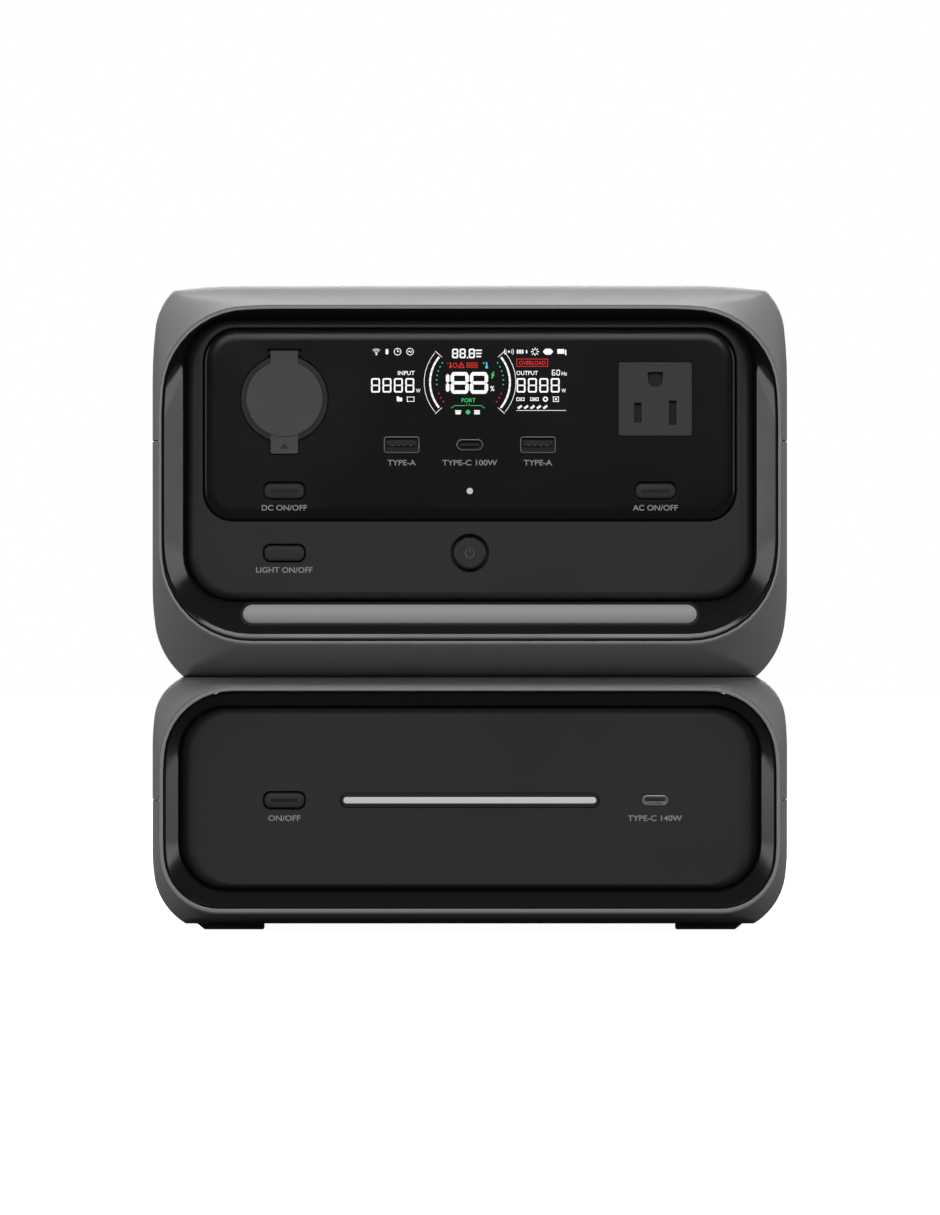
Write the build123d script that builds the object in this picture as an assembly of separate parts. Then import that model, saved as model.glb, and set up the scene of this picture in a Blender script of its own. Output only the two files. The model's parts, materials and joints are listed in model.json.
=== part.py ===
"""Portable power station docked on top of an extra battery module, in millimetres.

The frame has +X to the right, +Y towards the back and +Z up. The origin is on the floor, under the
middle of the footprint. Each function returns the solids of one sub-part.
"""

from build123d import *
from math import asin, cos, radians, sin
import os

# ---------------------------------------------------------------- driving dimensions
WIDTH = 234.5
DEPTH = 232.0
HEIGHT = 238.1
JOIN_HEIGHT = 93.55          # the plane where the station stands on the battery module
FEET_HEIGHT = 2.3
TAPER_DEPTH = 21.0           # how far each shell narrows towards its front and back rims
WALL = 2.6
CLEARANCE = 0.3              # gap between a bezel or panel and what surrounds it
SEAM_WIDTH = 0.5
SEAM_DEPTH = 0.7
STATION_SEAM = 180.7
BATTERY_SEAM = 48.3

FRONT = -DEPTH / 2
BACK = DEPTH / 2
TAPER_START = FRONT + TAPER_DEPTH
TAPER_END = BACK - TAPER_DEPTH
CAVITY_FRONT = FRONT + 19.0
CAVITY_BACK = BACK - 19.0
STATION_LIP = 1.4            # width of the thin lip that runs round each opening
BATTERY_LIP = 1.8

# Front panels
BEZEL_FACE = FRONT + 0.8
BEZEL_INNER = FRONT + 10.0   # where the sloping bezel meets its straight inner opening
BEZEL_LIP = 1.3
PANEL_FACE = FRONT + 4.0
PANEL_BACK = FRONT + 12.0
PANEL_FLOOR = FRONT + 9.2    # back of the panel's plate, inside its skirt
COVER_FACE = FRONT + 3.8
COVER_POCKET = FRONT + 6.8
BOARD_FACE = FRONT + 13.0

# Front controls of the station: X is measured from the middle, Z from the floor
SIDE_X = 68.3                # the DC column is at -SIDE_X and the AC column at +SIDE_X
SOCKET_Z = 195.9
PORT_Z = 179.0
USB_A_X = 25.1
UPPER_BUTTON_Z = 162.0
LOWER_BUTTON_Z = 139.1
LENS_Z = 116.85
LENS_SIZE = (167.5, 7.9)
BATTERY_CONTROL_Z = 48.1

BUTTON_SIZE = (14.8, 5.8)
BUTTON_GAP = 0.55
BUTTON_CORNER = 2.3
POWER_RADIUS = 5.95
STATUS_RADIUS = 1.15

# Display cover and the screen behind it
COVER_BOTTOM = 150.95
COVER_TOP = 222.1
COVER_HALF = 98.2
LCD_SIZE = (75.4, 27.0)
LCD_Z = 202.6

# Sockets, inlets and breaker on the back
REAR_OUTLET_X = (-62.0, -22.0)
REAR_OUTLET_Z = 198.0
INLET_X, INLET_Z = 30.0, 198.0
SOLAR_X, SOLAR_Z = 70.0, 198.0
BREAKER_X, BREAKER_Z = 77.0, 168.0
INLET_SIZE = (32.0, 24.0)
SOLAR_SIZE = (22.0, 14.0)
BREAKER_RADIUS = 5.0

# DC socket and its cover flap
FLAP_RADIUS = 16.05
FLAP_FACE = FRONT + 3.2
FLAP_BACK = FRONT + 5.7
FLAP_TAB_WIDTH = 10.1
FLAP_TAB_END = SOCKET_Z - 20.3
HINGE_Y = FRONT + 5.0
HINGE_Z = 212.4
HINGE_KNUCKLE = 1.5
HINGE_PIN = 0.6
SOCKET_BORE = 10.5
SOCKET_WALL = 13.2
SOCKET_FLANGE = 14.6
SOCKET_DEPTH = 36.0
CONTACT_RADIUS = 3.0

# AC outlet: blade slots below, ground hole above
OUTLET_SIZE = (27.0, 27.2)
OUTLET_CORE = 25.0
BLADE_X = 6.42
BLADE_Z = -5.1
NARROW_BLADE = (2.25, 7.05)
WIDE_BLADE = (2.25, 8.3)
GROUND_SIZE = (5.34, 5.2)
GROUND_Z = 7.0

# Handle: a bar across the top of the back, with a finger slot in front of it
HANDLE_HALF = 64.0
SLOT_FRONT = 79.0
SLOT_BACK = 101.0
HANDLE_BOTTOM = 220.0
REAR_PANEL_BACK = 76.0
REAR_PANEL_THICKNESS = 2.8

# Cells, cooling fans and docking parts
CELL_RADIUS = 16.1
CELL_LENGTH = 70.5
CELL_PITCH = 33.0
FAN_SIZE = 60.0
FAN_CENTRE = (30.0, 152.0)   # Y and Z of both fans
FAN_INNER = 99.0
FAN_OUTER = 114.0
VENT_SIZE = (70.0, 40.0)
FOOT_RADIUS = 10.0
FOOT_PLACES = ((-85, -78), (85, -78), (-85, 78), (85, 78))
DOCK_Y = -78.0
DOCK_PLUG = (40.0, 12.0)
STUD_X = 55.0
STUD_Y = 60.0
LOCK_TRAVEL = 8.0
LOCK_PLATE_Z = (85.5, 87.5)


# ---------------------------------------------------------------- small helpers
def block(x_range, y_range, z_range):
    """A box between the given limits."""
    size = [high - low for low, high in (x_range, y_range, z_range)]
    middle = [(high + low) / 2 for low, high in (x_range, y_range, z_range)]
    return Pos(*middle) * Box(*size)


def prism(sketch, y_low, y_high):
    """Extrude a sketch drawn in X and Z between two depths."""
    return extrude(Plane.XZ.offset(-y_high) * sketch, amount=y_high - y_low)


def column(radius, z_low, z_high, x, y):
    """An upright round column."""
    return extrude(Pos(x, y, z_low) * Circle(radius), amount=z_high - z_low)


def axle(radius, x_low, x_high, y, z):
    """A round bar along X."""
    return extrude(Plane.YZ.offset(x_low) * (Pos(y, z) * Circle(radius)), amount=x_high - x_low)


def round_bar(radius, y_low, y_high, x, z):
    """A round bar along Y."""
    return prism(Pos(x, z) * Circle(radius), y_low, y_high)


def tile(x, z, width, height, corner):
    """A rounded rectangle in X and Z about a centre."""
    return Pos(x, z) * RectangleRounded(width, height, corner)


def upright_tile(x, y, width, depth, corner, z_low, z_high):
    """A rounded rectangular column."""
    return extrude(Pos(x, y, z_low) * RectangleRounded(width, depth, corner), amount=z_high - z_low)


def mirrored(shape):
    """The same shape on the other side of the middle plane."""
    return mirror(shape, about=Plane.YZ)


# ---------------------------------------------------------------- cross-sections of the shells
class Section:
    """A cross-section of a shell, symmetric about the middle.

    Each side is straight, then bends through a gentle flank arc and a tighter corner arc towards the
    flat top or bottom. A corner is (flank radius, flank angle, corner radius, angle at its end); an
    end angle under 90 degrees leaves a crisp edge. The crown is the rise of the top past that edge.
    The lip is the width of the rim round an opening of this shape.
    """

    def __init__(self, half_width, z_low, z_high, low_corner, high_corner, crown=0.0, half_flat=0.0, lip=0.0):
        self.half_width = half_width
        self.z_low = z_low
        self.z_high = z_high
        self.low_corner = low_corner
        self.high_corner = high_corner
        self.crown = crown
        self.half_flat = half_flat
        self.lip = lip

    def inset(self, amount):
        """The section moved inwards by an amount."""
        return Section(
            self.half_width - amount,
            self.z_low + amount,
            self.z_high - amount,
            shrink_corner(self.low_corner, amount),
            shrink_corner(self.high_corner, amount),
            self.crown,
            self.half_flat,
        )

    def towards(self, other, share):
        """The section part of the way to another one."""
        return Section(
            blend(self.half_width, other.half_width, share),
            blend(self.z_low, other.z_low, share),
            blend(self.z_high, other.z_high, share),
            tuple(blend(a, b, share) for a, b in zip(self.low_corner, other.low_corner)),
            tuple(blend(a, b, share) for a, b in zip(self.high_corner, other.high_corner)),
            blend(self.crown, other.crown, share),
            blend(self.half_flat, other.half_flat, share),
        )

    def sketch(self):
        """The closed outline as a face in X and Z."""
        low_start = self.z_low + corner_height(self.low_corner)
        high_start = self.z_high - self.crown - corner_height(self.high_corner)
        with BuildSketch() as drawn:
            with BuildLine():
                side = Line((self.half_width, low_start), (self.half_width, high_start))
                upper_end = corner_arcs(side @ 1, (0, 1), self.high_corner, 1)
                lower_end = corner_arcs(side @ 0, (0, -1), self.low_corner, -1)
                if self.crown:
                    top_end = crown_arc(upper_end, self.half_flat, self.crown)
                else:
                    top_end = upper_end
                Line(top_end, (0, top_end.Y))
                Line(lower_end, (0, lower_end.Y))
                mirror(about=Plane.YZ)
            make_face()
        return drawn.sketch


def shrink_corner(corner, amount):
    """A corner whose two arcs are smaller by an amount."""
    flank_radius, flank_angle, radius, end_angle = corner
    return (flank_radius - amount, flank_angle, radius - amount, end_angle)


def corner_height(corner):
    """How much of the height the two arcs of a corner take."""
    flank_radius, flank_angle, radius, end_angle = corner
    flank = flank_radius * sin(radians(flank_angle))
    return flank + radius * (sin(radians(end_angle)) - sin(radians(flank_angle)))


def corner_arcs(start, direction, corner, turn):
    """Draw the flank arc and the corner arc, and return where they end."""
    flank_radius, flank_angle, radius, end_angle = corner
    flank = JernArc(start, direction, flank_radius, turn * flank_angle)
    tight = JernArc(flank @ 1, flank % 1, radius, turn * (end_angle - flank_angle))
    return tight @ 1


def crown_arc(start, half_flat, rise):
    """Draw the shallow arc from a crisp edge up to the flat of the top, and return its end."""
    span = start.X - half_flat
    radius = (span**2 + rise**2) / (2 * rise)
    half_turn = asin(span / radius) / 2
    top = start.Y + rise
    middle = (half_flat + radius * sin(half_turn), top - radius * (1 - cos(half_turn)))
    ThreePointArc(start, middle, (half_flat, top))
    return Vector(half_flat, top)


def blend(first, second, share):
    """A value part of the way from first to second."""
    return first + (second - first) * share


STATION_BODY = Section(
    WIDTH / 2, JOIN_HEIGHT, HEIGHT, (103, 8, 30.5, 49.5), (171, 6.5, 23.5, 45), crown=1.8, half_flat=84.5
)
STATION_RIM = Section(
    114.9, 105.3, 230.4, (100, 5, 34, 90), (150, 5, 33, 90), crown=0.3, half_flat=70, lip=STATION_LIP
)
BATTERY_BODY = Section(WIDTH / 2, FEET_HEIGHT, JOIN_HEIGHT, (72, 8, 23.7, 60), (94, 7, 18.4, 66))
BATTERY_RIM = Section(114.7, 6.4, 90.2, (70, 6, 22, 90), (90, 6, 27, 90), lip=BATTERY_LIP)


def tapered_body(body, rim):
    """The full outer shape: straight in the middle and tapering to a rim at the front and the back."""
    depths = [0, TAPER_DEPTH / 3, 2 * TAPER_DEPTH / 3, TAPER_DEPTH]
    sections = [body.towards(rim, (1 - depth / TAPER_DEPTH) ** 2) for depth in depths]
    front = loft([Plane.XZ.offset(-(FRONT + d)) * s.sketch() for d, s in zip(depths, sections)])
    back = mirror(front, about=Plane.XZ)
    return prism(body.sketch(), TAPER_START, TAPER_END) + front + back


def hollow(body, rim):
    """What is taken out of a body: the main cavity and the two straight openings."""
    mouth = rim.inset(rim.lip).sketch()
    cavity = prism(body.inset(WALL).sketch(), CAVITY_FRONT, CAVITY_BACK)
    return cavity + prism(mouth, FRONT - 1, CAVITY_FRONT) + prism(mouth, CAVITY_BACK, BACK + 1)


def split_shell(shell, body, seam):
    """Part a shell at its seam, with a shadow groove along the lower half's edge."""
    far = 2 * WIDTH
    lower = shell & block((-far, far), (-far, far), (-far, seam))
    upper = shell & block((-far, far), (-far, far), (seam, far))
    band = block((-far, far), (-far, far), (seam - SEAM_WIDTH, seam))
    groove = band - prism(body.inset(SEAM_DEPTH).sketch(), FRONT - 1, BACK + 1)
    return lower - groove, upper


# ---------------------------------------------------------------- battery module
def battery_shells():
    """The two halves of the battery module's case."""
    shell = tapered_body(BATTERY_BODY, BATTERY_RIM) - hollow(BATTERY_BODY, BATTERY_RIM)
    base, top = split_shell(shell, BATTERY_BODY, BATTERY_SEAM)
    for x, y in FOOT_PLACES:
        top += column(FOOT_RADIUS + 3, JOIN_HEIGHT - 5, JOIN_HEIGHT, x, y)
        top -= column(FOOT_RADIUS + 0.6, JOIN_HEIGHT - 2.8, JOIN_HEIGHT + 1, x, y)
    for x in (-STUD_X, STUD_X):
        top -= column(4.7, JOIN_HEIGHT - 5, JOIN_HEIGHT + 1, x, STUD_Y)
    width, depth = DOCK_PLUG
    top -= upright_tile(0, DOCK_Y, width + 4, depth + 4, 3, JOIN_HEIGHT - 5, JOIN_HEIGHT + 1)
    for x, y in screw_places(102.3):
        base -= screw_hole(x, y, FEET_HEIGHT)
    return base, top


def bezel(rim, opening):
    """A gloss ring that slopes from a thin flat lip at the rim back to the panel opening."""
    outer = rim.inset(rim.lip + CLEARANCE)
    mouth = Plane.XZ.offset(-BEZEL_FACE) * outer.inset(BEZEL_LIP).sketch()
    throat = Plane.XZ.offset(-BEZEL_INNER) * opening.sketch()
    ring = prism(outer.sketch(), BEZEL_FACE, CAVITY_FRONT)
    funnel = loft([mouth, throat], ruled=True)
    return ring - funnel - prism(opening.sketch(), BEZEL_INNER, CAVITY_FRONT + 1)


def panel(opening, margins, corner):
    """A raised panel with sloping walls; margins are the widths of its left, bottom and top walls."""
    side, bottom, top = margins
    base = opening.inset(CLEARANCE)
    face = Section(
        base.half_width - side, base.z_low + bottom, base.z_high - top, (60, 2, corner, 90), (60, 2, corner, 90)
    )
    back = Plane.XZ.offset(-PANEL_BACK) * base.sketch()
    front = Plane.XZ.offset(-PANEL_FACE) * face.sketch()
    raised = loft([back, front], ruled=True)
    face_edges = raised.faces().sort_by(Axis.Y)[0].edges()
    raised = fillet(face_edges, 1.4)
    return raised - prism(base.inset(6).sketch(), PANEL_FLOOR, PANEL_BACK + 1)


BATTERY_OPENING = Section(107.3, 14.5, 82.9, (60, 2, 17.5, 90), (60, 2, 17.5, 90))
STATION_OPENING = Section(105.1, 121.2, 225.3, (80, 2, 18, 90), (80, 2, 17, 90))


def button_hole(x, z, extra=0.0):
    """The opening round a rounded rectangular button."""
    width, height = BUTTON_SIZE
    grow = 2 * (BUTTON_GAP + extra)
    return prism(tile(x, z, width + grow, height + grow, BUTTON_CORNER + 0.4), FRONT, PANEL_BACK + 1)


def button(x, z, face):
    """A rounded rectangular push button with a stop flange behind the panel."""
    width, height = BUTTON_SIZE
    head = prism(tile(x, z, width, height, BUTTON_CORNER), face, PANEL_FLOOR + 0.4)
    head = fillet(head.faces().sort_by(Axis.Y)[0].edges(), 0.6)
    flange = prism(tile(x, z, width + 4, height + 4, 3), PANEL_FLOOR + 0.3, PANEL_FLOOR + 1.5)
    return head + flange


def battery_panel():
    """The battery module's front panel, with openings for the button, bar and port."""
    plate = panel(BATTERY_OPENING, (7.7, 2.7, 3.2), 12)
    plate -= button_hole(-SIDE_X, BATTERY_CONTROL_Z)
    plate -= prism(Pos(0, BATTERY_CONTROL_Z) * SlotOverall(96.0, 5.7), FRONT, PANEL_BACK)
    plate -= prism(Pos(SIDE_X, BATTERY_CONTROL_Z) * SlotOverall(9.7, 3.9), FRONT, PANEL_BACK)
    return plate


def battery_status_bar():
    """The lit bar and the dark frame round it."""
    bar = prism(Pos(0, BATTERY_CONTROL_Z) * SlotOverall(93.1, 2.3), PANEL_FACE - 0.1, PANEL_FLOOR + 1)
    frame = prism(Pos(0, BATTERY_CONTROL_Z) * SlotOverall(95.8, 5.5), PANEL_FACE + 0.5, PANEL_FLOOR + 0.8)
    frame -= prism(Pos(0, BATTERY_CONTROL_Z) * SlotOverall(93.2, 2.4), FRONT, PANEL_BACK)
    return bar, frame


def battery_feet():
    """Four low feet whose outer edges slope in towards the floor."""
    with BuildSketch() as outline:
        with BuildLine():
            Polyline((76.4, FEET_HEIGHT), (101.0, FEET_HEIGHT), (98.1, 0), (76.4, 0), close=True)
        make_face()
    right = [prism(outline.sketch, low, low + 28) for low in (-90, 62)]
    return Compound(right + [mirrored(foot) for foot in right])


def battery_rear_panel():
    """The plate that closes the back of the battery module, notched for the lock slider."""
    plate = prism(BATTERY_RIM.inset(BATTERY_LIP + 0.2).sketch(), BACK - 9, BACK - 5)
    plate -= prism(BATTERY_RIM.inset(BATTERY_LIP + 4).sketch(), BACK - 7, BACK)
    return plate - block((-7, 7 + LOCK_TRAVEL), (BACK - 20, BACK), (78.5, 95))


def lock_slider():
    """The sliding keyhole plate and the finger tab that moves it."""
    low, high = LOCK_PLATE_Z
    plate = upright_tile(0, 71, 140, 40, 6, low, high)
    for x in (-STUD_X, STUD_X):
        plate -= column(4.7, low - 1, high + 1, x, STUD_Y)
        plate -= block((x - LOCK_TRAVEL, x), (STUD_Y - 2.8, STUD_Y + 2.8), (low - 1, high + 1))
        plate -= column(2.8, low - 1, high + 1, x - LOCK_TRAVEL, STUD_Y)
    plate += block((-8, 8), (88, 99), (low, high))
    tab = block((-6, 6), (99, BACK - 3), (79.5, high))
    tab = fillet(tab.edges().filter_by(Axis.Y), 0.8)
    for y in (BACK - 4.2, BACK - 6.4):
        tab -= block((-7, 7), (y - 0.5, y + 0.5), (high - 0.6, high + 1))
    return plate, tab


def dock_plug():
    """The plug that stands out of the battery's top, and its contact blades."""
    width, depth = DOCK_PLUG
    body = upright_tile(0, DOCK_Y, width, depth, 3, JOIN_HEIGHT - 8, JOIN_HEIGHT + 6)
    body += upright_tile(0, DOCK_Y, width + 10, depth + 10, 4, JOIN_HEIGHT - 5, JOIN_HEIGHT - 2.8)
    blades = []
    for x in (-14, -7, 0, 7, 14):
        slot = block((x - 1.2, x + 1.2), (DOCK_Y - 3, DOCK_Y + 3), (JOIN_HEIGHT - 3, JOIN_HEIGHT + 7))
        body -= slot
        blades.append(block((x - 0.5, x + 0.5), (DOCK_Y - 3, DOCK_Y + 3), (JOIN_HEIGHT - 3, JOIN_HEIGHT + 5)))
    return body, Compound(blades)


# ---------------------------------------------------------------- cells, boards and screws
def cell_places(columns, rows, y_middle):
    """Centres of a rectangular array of cells."""
    return [
        ((i - (columns - 1) / 2) * CELL_PITCH, y_middle + (j - (rows - 1) / 2) * CELL_PITCH)
        for i in range(columns)
        for j in range(rows)
    ]


def cell_pack(columns, rows, y_middle, z_low):
    """Upright cells, the two plates that hold them and the strips that join them."""
    places = cell_places(columns, rows, y_middle)
    cells = [column(CELL_RADIUS, z_low, z_low + CELL_LENGTH, x, y) for x, y in places]
    width, depth = columns * CELL_PITCH + 0.6, rows * CELL_PITCH + 0.6
    plates = []
    for low in (z_low + 1.5, z_low + CELL_LENGTH - 7.5):
        plate = upright_tile(0, y_middle, width, depth, 4, low, low + 6)
        holes = [column(CELL_RADIUS + 0.1, low - 1, low + 7, x, y) for x, y in places]
        plates.append(plate - holes)
    strips = []
    top = z_low + CELL_LENGTH
    length = rows * CELL_PITCH - 12
    for i in range(columns):
        x = (i - (columns - 1) / 2) * CELL_PITCH
        strips.append(upright_tile(x, y_middle, 12, length, 3, top, top + 0.5))
    return Compound(cells), Compound(plates), Compound(strips)


def upright_board(x_half, y, z_range, chips):
    """A circuit board standing across the case, with chips on its front."""
    board = block((-x_half, x_half), (y, y + 1.6), z_range)
    for x, z, width, height in chips:
        board += block((x - width / 2, x + width / 2), (y - 1.8, y), (z - height / 2, z + height / 2))
    return board


def screw_places(x):
    """The four case screws of a module."""
    return [(side * x, end * 86) for side in (-1, 1) for end in (-1, 1)]


def screw_hole(x, y, floor):
    """A counterbored hole for a case screw."""
    return column(2.6, floor - 1, floor + 1.5, x, y) + column(1.6, floor, floor + 4, x, y)


def case_screws(x, floor):
    """Countersunk case screws with hexagonal recesses."""
    screws = []
    for px, py in screw_places(x):
        screw = column(2.5, floor + 0.2, floor + 1.5, px, py) + column(1.5, floor + 1.5, floor + 9, px, py)
        recess = extrude(Pos(px, py, floor) * RegularPolygon(1.2, 6), amount=1.0)
        screws.append(screw - recess)
    return Compound(screws)


# ---------------------------------------------------------------- station case
def station_shells():
    """The two halves of the station's case; the upper one carries the handle bar."""
    outer = tapered_body(STATION_BODY, STATION_RIM)
    shell = outer - hollow(STATION_BODY, STATION_RIM)
    grip = outer & block((-HANDLE_HALF - 3, HANDLE_HALF + 3), (SLOT_FRONT - 2.6, BACK + 1), (HANDLE_BOTTOM, 250))
    shell += grip
    slot_middle = (SLOT_FRONT + SLOT_BACK) / 2
    shell -= upright_tile(0, slot_middle, 2 * HANDLE_HALF, SLOT_BACK - SLOT_FRONT, 8, 190, 250)
    bottom, top = split_shell(shell, STATION_BODY, STATION_SEAM)
    y, z = FAN_CENTRE
    window = block((-WIDTH, WIDTH), (y - VENT_SIZE[0] / 2 - 0.2, y + VENT_SIZE[0] / 2 + 0.2),
                   (z - VENT_SIZE[1] / 2 - 0.2, z + VENT_SIZE[1] / 2 + 0.2))
    bottom -= window
    width, depth = DOCK_PLUG
    bottom -= upright_tile(0, DOCK_Y, width + 4, depth + 4, 3, JOIN_HEIGHT - 1, JOIN_HEIGHT + 5)
    for x, sy in screw_places(99):
        bottom -= screw_hole(x, sy, JOIN_HEIGHT)
    return bottom, top


def handle_grip_pad():
    """The soft pad under the handle bar."""
    pad = upright_tile(0, 107.5, 120, 10.5, 4, HANDLE_BOTTOM - 2.6, HANDLE_BOTTOM)
    return fillet(pad.faces().sort_by(Axis.Z)[0].edges(), 1.2)


def rear_lining():
    """The ring that lines the recess at the back, open at the top behind the finger slot."""
    outer = prism(STATION_RIM.inset(STATION_LIP + CLEARANCE).sketch(), REAR_PANEL_BACK, BACK - 0.8)
    ring = outer - prism(STATION_RIM.inset(5).sketch(), REAR_PANEL_BACK - 1, BACK + 1)
    half = HANDLE_HALF + 3.4
    return ring - block((-half, half), (REAR_PANEL_BACK - 1, BACK + 1), (HANDLE_BOTTOM - 4, HEIGHT))


def rear_panel():
    """The plate at the bottom of the rear recess, with openings for its sockets."""
    low = REAR_PANEL_BACK - REAR_PANEL_THICKNESS
    plate = prism(STATION_RIM.inset(2).sketch(), low, REAR_PANEL_BACK)
    openings = [tile(x, REAR_OUTLET_Z, OUTLET_SIZE[0] + 0.4, OUTLET_SIZE[1] + 0.4, 0.9) for x in REAR_OUTLET_X]
    openings.append(tile(INLET_X, INLET_Z, INLET_SIZE[0] + 0.4, INLET_SIZE[1] + 0.4, 2.2))
    openings.append(tile(SOLAR_X, SOLAR_Z, SOLAR_SIZE[0] + 0.4, SOLAR_SIZE[1] + 0.4, 2.2))
    openings.append(Pos(BREAKER_X, BREAKER_Z) * Circle(BREAKER_RADIUS + 0.4))
    for opening in openings:
        plate -= prism(opening, low - 1, REAR_PANEL_BACK + 1)
    return plate


def vent_grille():
    """The louvred insert in the right side of the case."""
    y, z = FAN_CENTRE
    length, height = VENT_SIZE
    outer = WIDTH / 2 - 0.2
    grille = block((outer - 2.2, outer), (y - length / 2, y + length / 2), (z - height / 2, z + height / 2))
    for index in range(9):
        middle = z + (index - 4) * 4.2
        grille -= block((outer - 3, outer + 1), (y - length / 2 + 4, y + length / 2 - 4), (middle - 1.1, middle + 1.1))
    return grille


def station_feet():
    """Round pads under the station that sit in pockets in the battery's top."""
    pads = [column(FOOT_RADIUS, JOIN_HEIGHT - 2.4, JOIN_HEIGHT, x, y) for x, y in FOOT_PLACES]
    return Compound([chamfer(pad.faces().sort_by(Axis.Z)[0].edges(), 0.8) for pad in pads])


def lock_studs():
    """Headed studs under the station that the lock plate grips."""
    studs = []
    for x in (-STUD_X, STUD_X):
        neck = column(2.4, 85, JOIN_HEIGHT, x, STUD_Y)
        studs.append(neck + column(4.0, 82.6, 85, x, STUD_Y))
    return Compound(studs)


def dock_socket():
    """The socket inside the station's floor that receives the battery's plug."""
    width, depth = DOCK_PLUG
    floor = JOIN_HEIGHT + WALL
    housing = upright_tile(0, DOCK_Y, width + 10, depth + 10, 4, floor, floor + 8)
    return housing - upright_tile(0, DOCK_Y, width + 1.6, depth + 1.6, 3.4, floor - 1, floor + 5)


# ---------------------------------------------------------------- station front


def cover_section():
    """Outline of the gloss display cover."""
    return Section(COVER_HALF, COVER_BOTTOM, COVER_TOP, (60, 2, 11, 90), (60, 2, 12.5, 90))


def flap_outline(gap):
    """The flap's disc, hinge tab and pull tab, grown by a gap."""
    half = FLAP_TAB_WIDTH / 2
    disc = Pos(-SIDE_X, SOCKET_Z) * Circle(FLAP_RADIUS + gap)
    top_tab = tab_face(-SIDE_X, half, SOCKET_Z, HINGE_Z + gap, gap)
    pull_tab = tab_face(-SIDE_X, half, FLAP_TAB_END - gap, SOCKET_Z, gap)
    return disc, top_tab, pull_tab


def tab_face(x, half, z_low, z_high, gap):
    """A straight tab of the flap."""
    width = 2 * (half + gap)
    return Pos(x, (z_low + z_high) / 2) * RectangleRounded(width, z_high - z_low, 1.2)


def cover_openings():
    """Everything that reaches the front through the display cover."""
    disc, top_tab, pull_tab = flap_outline(0.35)
    hinge_well = Pos(-SIDE_X, HINGE_Z - 3) * Rectangle(FLAP_TAB_WIDTH + 2.6, 10)
    openings = [disc, pull_tab, hinge_well]
    openings.append(tile(SIDE_X, SOCKET_Z, OUTLET_SIZE[0] + 0.4, OUTLET_SIZE[1] + 0.4, 0.9))
    openings += [tile(x, PORT_Z, 13.3, 6.3, 1.0) for x in (-USB_A_X, USB_A_X)]
    openings.append(Pos(0, PORT_Z) * SlotOverall(10.2, 4.6))
    openings.append(Pos(0, UPPER_BUTTON_Z) * Circle(STATUS_RADIUS + 0.05))
    return openings


def display_cover():
    """The gloss plate over the upper part of the panel, with a rounded front edge."""
    plate = prism(cover_section().sketch(), COVER_FACE, COVER_POCKET)
    plate = fillet(plate.faces().sort_by(Axis.Y)[0].edges(), 2.6)
    for opening in cover_openings():
        plate -= prism(opening, FRONT, COVER_POCKET + 1)
    for x in (-SIDE_X, SIDE_X):
        plate -= button_hole(x, UPPER_BUTTON_Z)
    return plate - axle(HINGE_PIN, -SIDE_X - 8, -SIDE_X + 8, HINGE_Y, HINGE_Z)


def station_panel():
    """The matte panel behind and below the display cover."""
    plate = panel(STATION_OPENING, (5.5, 3.4, 2.1), 13)
    plate -= prism(cover_section().inset(-0.25).sketch(), FRONT, COVER_POCKET)
    through = [Pos(-SIDE_X, SOCKET_Z) * Circle(SOCKET_WALL + 0.2)]
    through.append(tile(SIDE_X, SOCKET_Z, OUTLET_CORE + 0.6, OUTLET_CORE + 0.6, 1.5))
    through.append(tile(0, LCD_Z, LCD_SIZE[0] + 0.6, LCD_SIZE[1] + 0.6, 1))
    through += [tile(x, PORT_Z, 13.3, 6.3, 1.0) for x in (-USB_A_X, USB_A_X)]
    through.append(Pos(0, PORT_Z) * SlotOverall(10.2, 4.6))
    through.append(Pos(0, UPPER_BUTTON_Z) * Circle(STATUS_RADIUS + 0.05))
    through.append(Pos(0, LOWER_BUTTON_Z) * Circle(POWER_RADIUS + 1.15))
    for opening in through:
        plate -= prism(opening, FRONT, PANEL_BACK + 1)
    for x, z in ((-SIDE_X, UPPER_BUTTON_Z), (SIDE_X, UPPER_BUTTON_Z), (-SIDE_X, LOWER_BUTTON_Z)):
        plate -= button_hole(x, z)
    return plate


def lcd_module():
    """The display behind the cover."""
    glass = prism(tile(0, LCD_Z, *LCD_SIZE, 0.8), COVER_POCKET + 0.1, PANEL_FLOOR + 0.8)
    return glass + prism(tile(0, LCD_Z, 82, 32, 1.2), PANEL_FLOOR + 0.3, PANEL_FLOOR + 2.2)


def control_board():
    """The circuit board behind the panel, with a switch under each button."""
    board = prism(tile(0, 173.0, 202, 94, 6), BOARD_FACE, BOARD_FACE + 1.6)
    board -= round_bar(SOCKET_WALL + 0.8, BOARD_FACE - 1, BOARD_FACE + 3, -SIDE_X, SOCKET_Z)
    board -= prism(tile(SIDE_X, SOCKET_Z, OUTLET_CORE + 2, OUTLET_CORE + 2, 1.5), BOARD_FACE - 1, BOARD_FACE + 3)
    for x in (-USB_A_X, 0, USB_A_X):
        board -= prism(tile(x, PORT_Z, 14.5, 7.5, 1.0), BOARD_FACE - 1, BOARD_FACE + 3)
    places = [(-SIDE_X, UPPER_BUTTON_Z), (SIDE_X, UPPER_BUTTON_Z), (-SIDE_X, LOWER_BUTTON_Z), (0, LOWER_BUTTON_Z)]
    for x, z in places:
        board += prism(tile(x, z, 6, 6, 0.5), BOARD_FACE - 1.2, BOARD_FACE)
    return board


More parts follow.
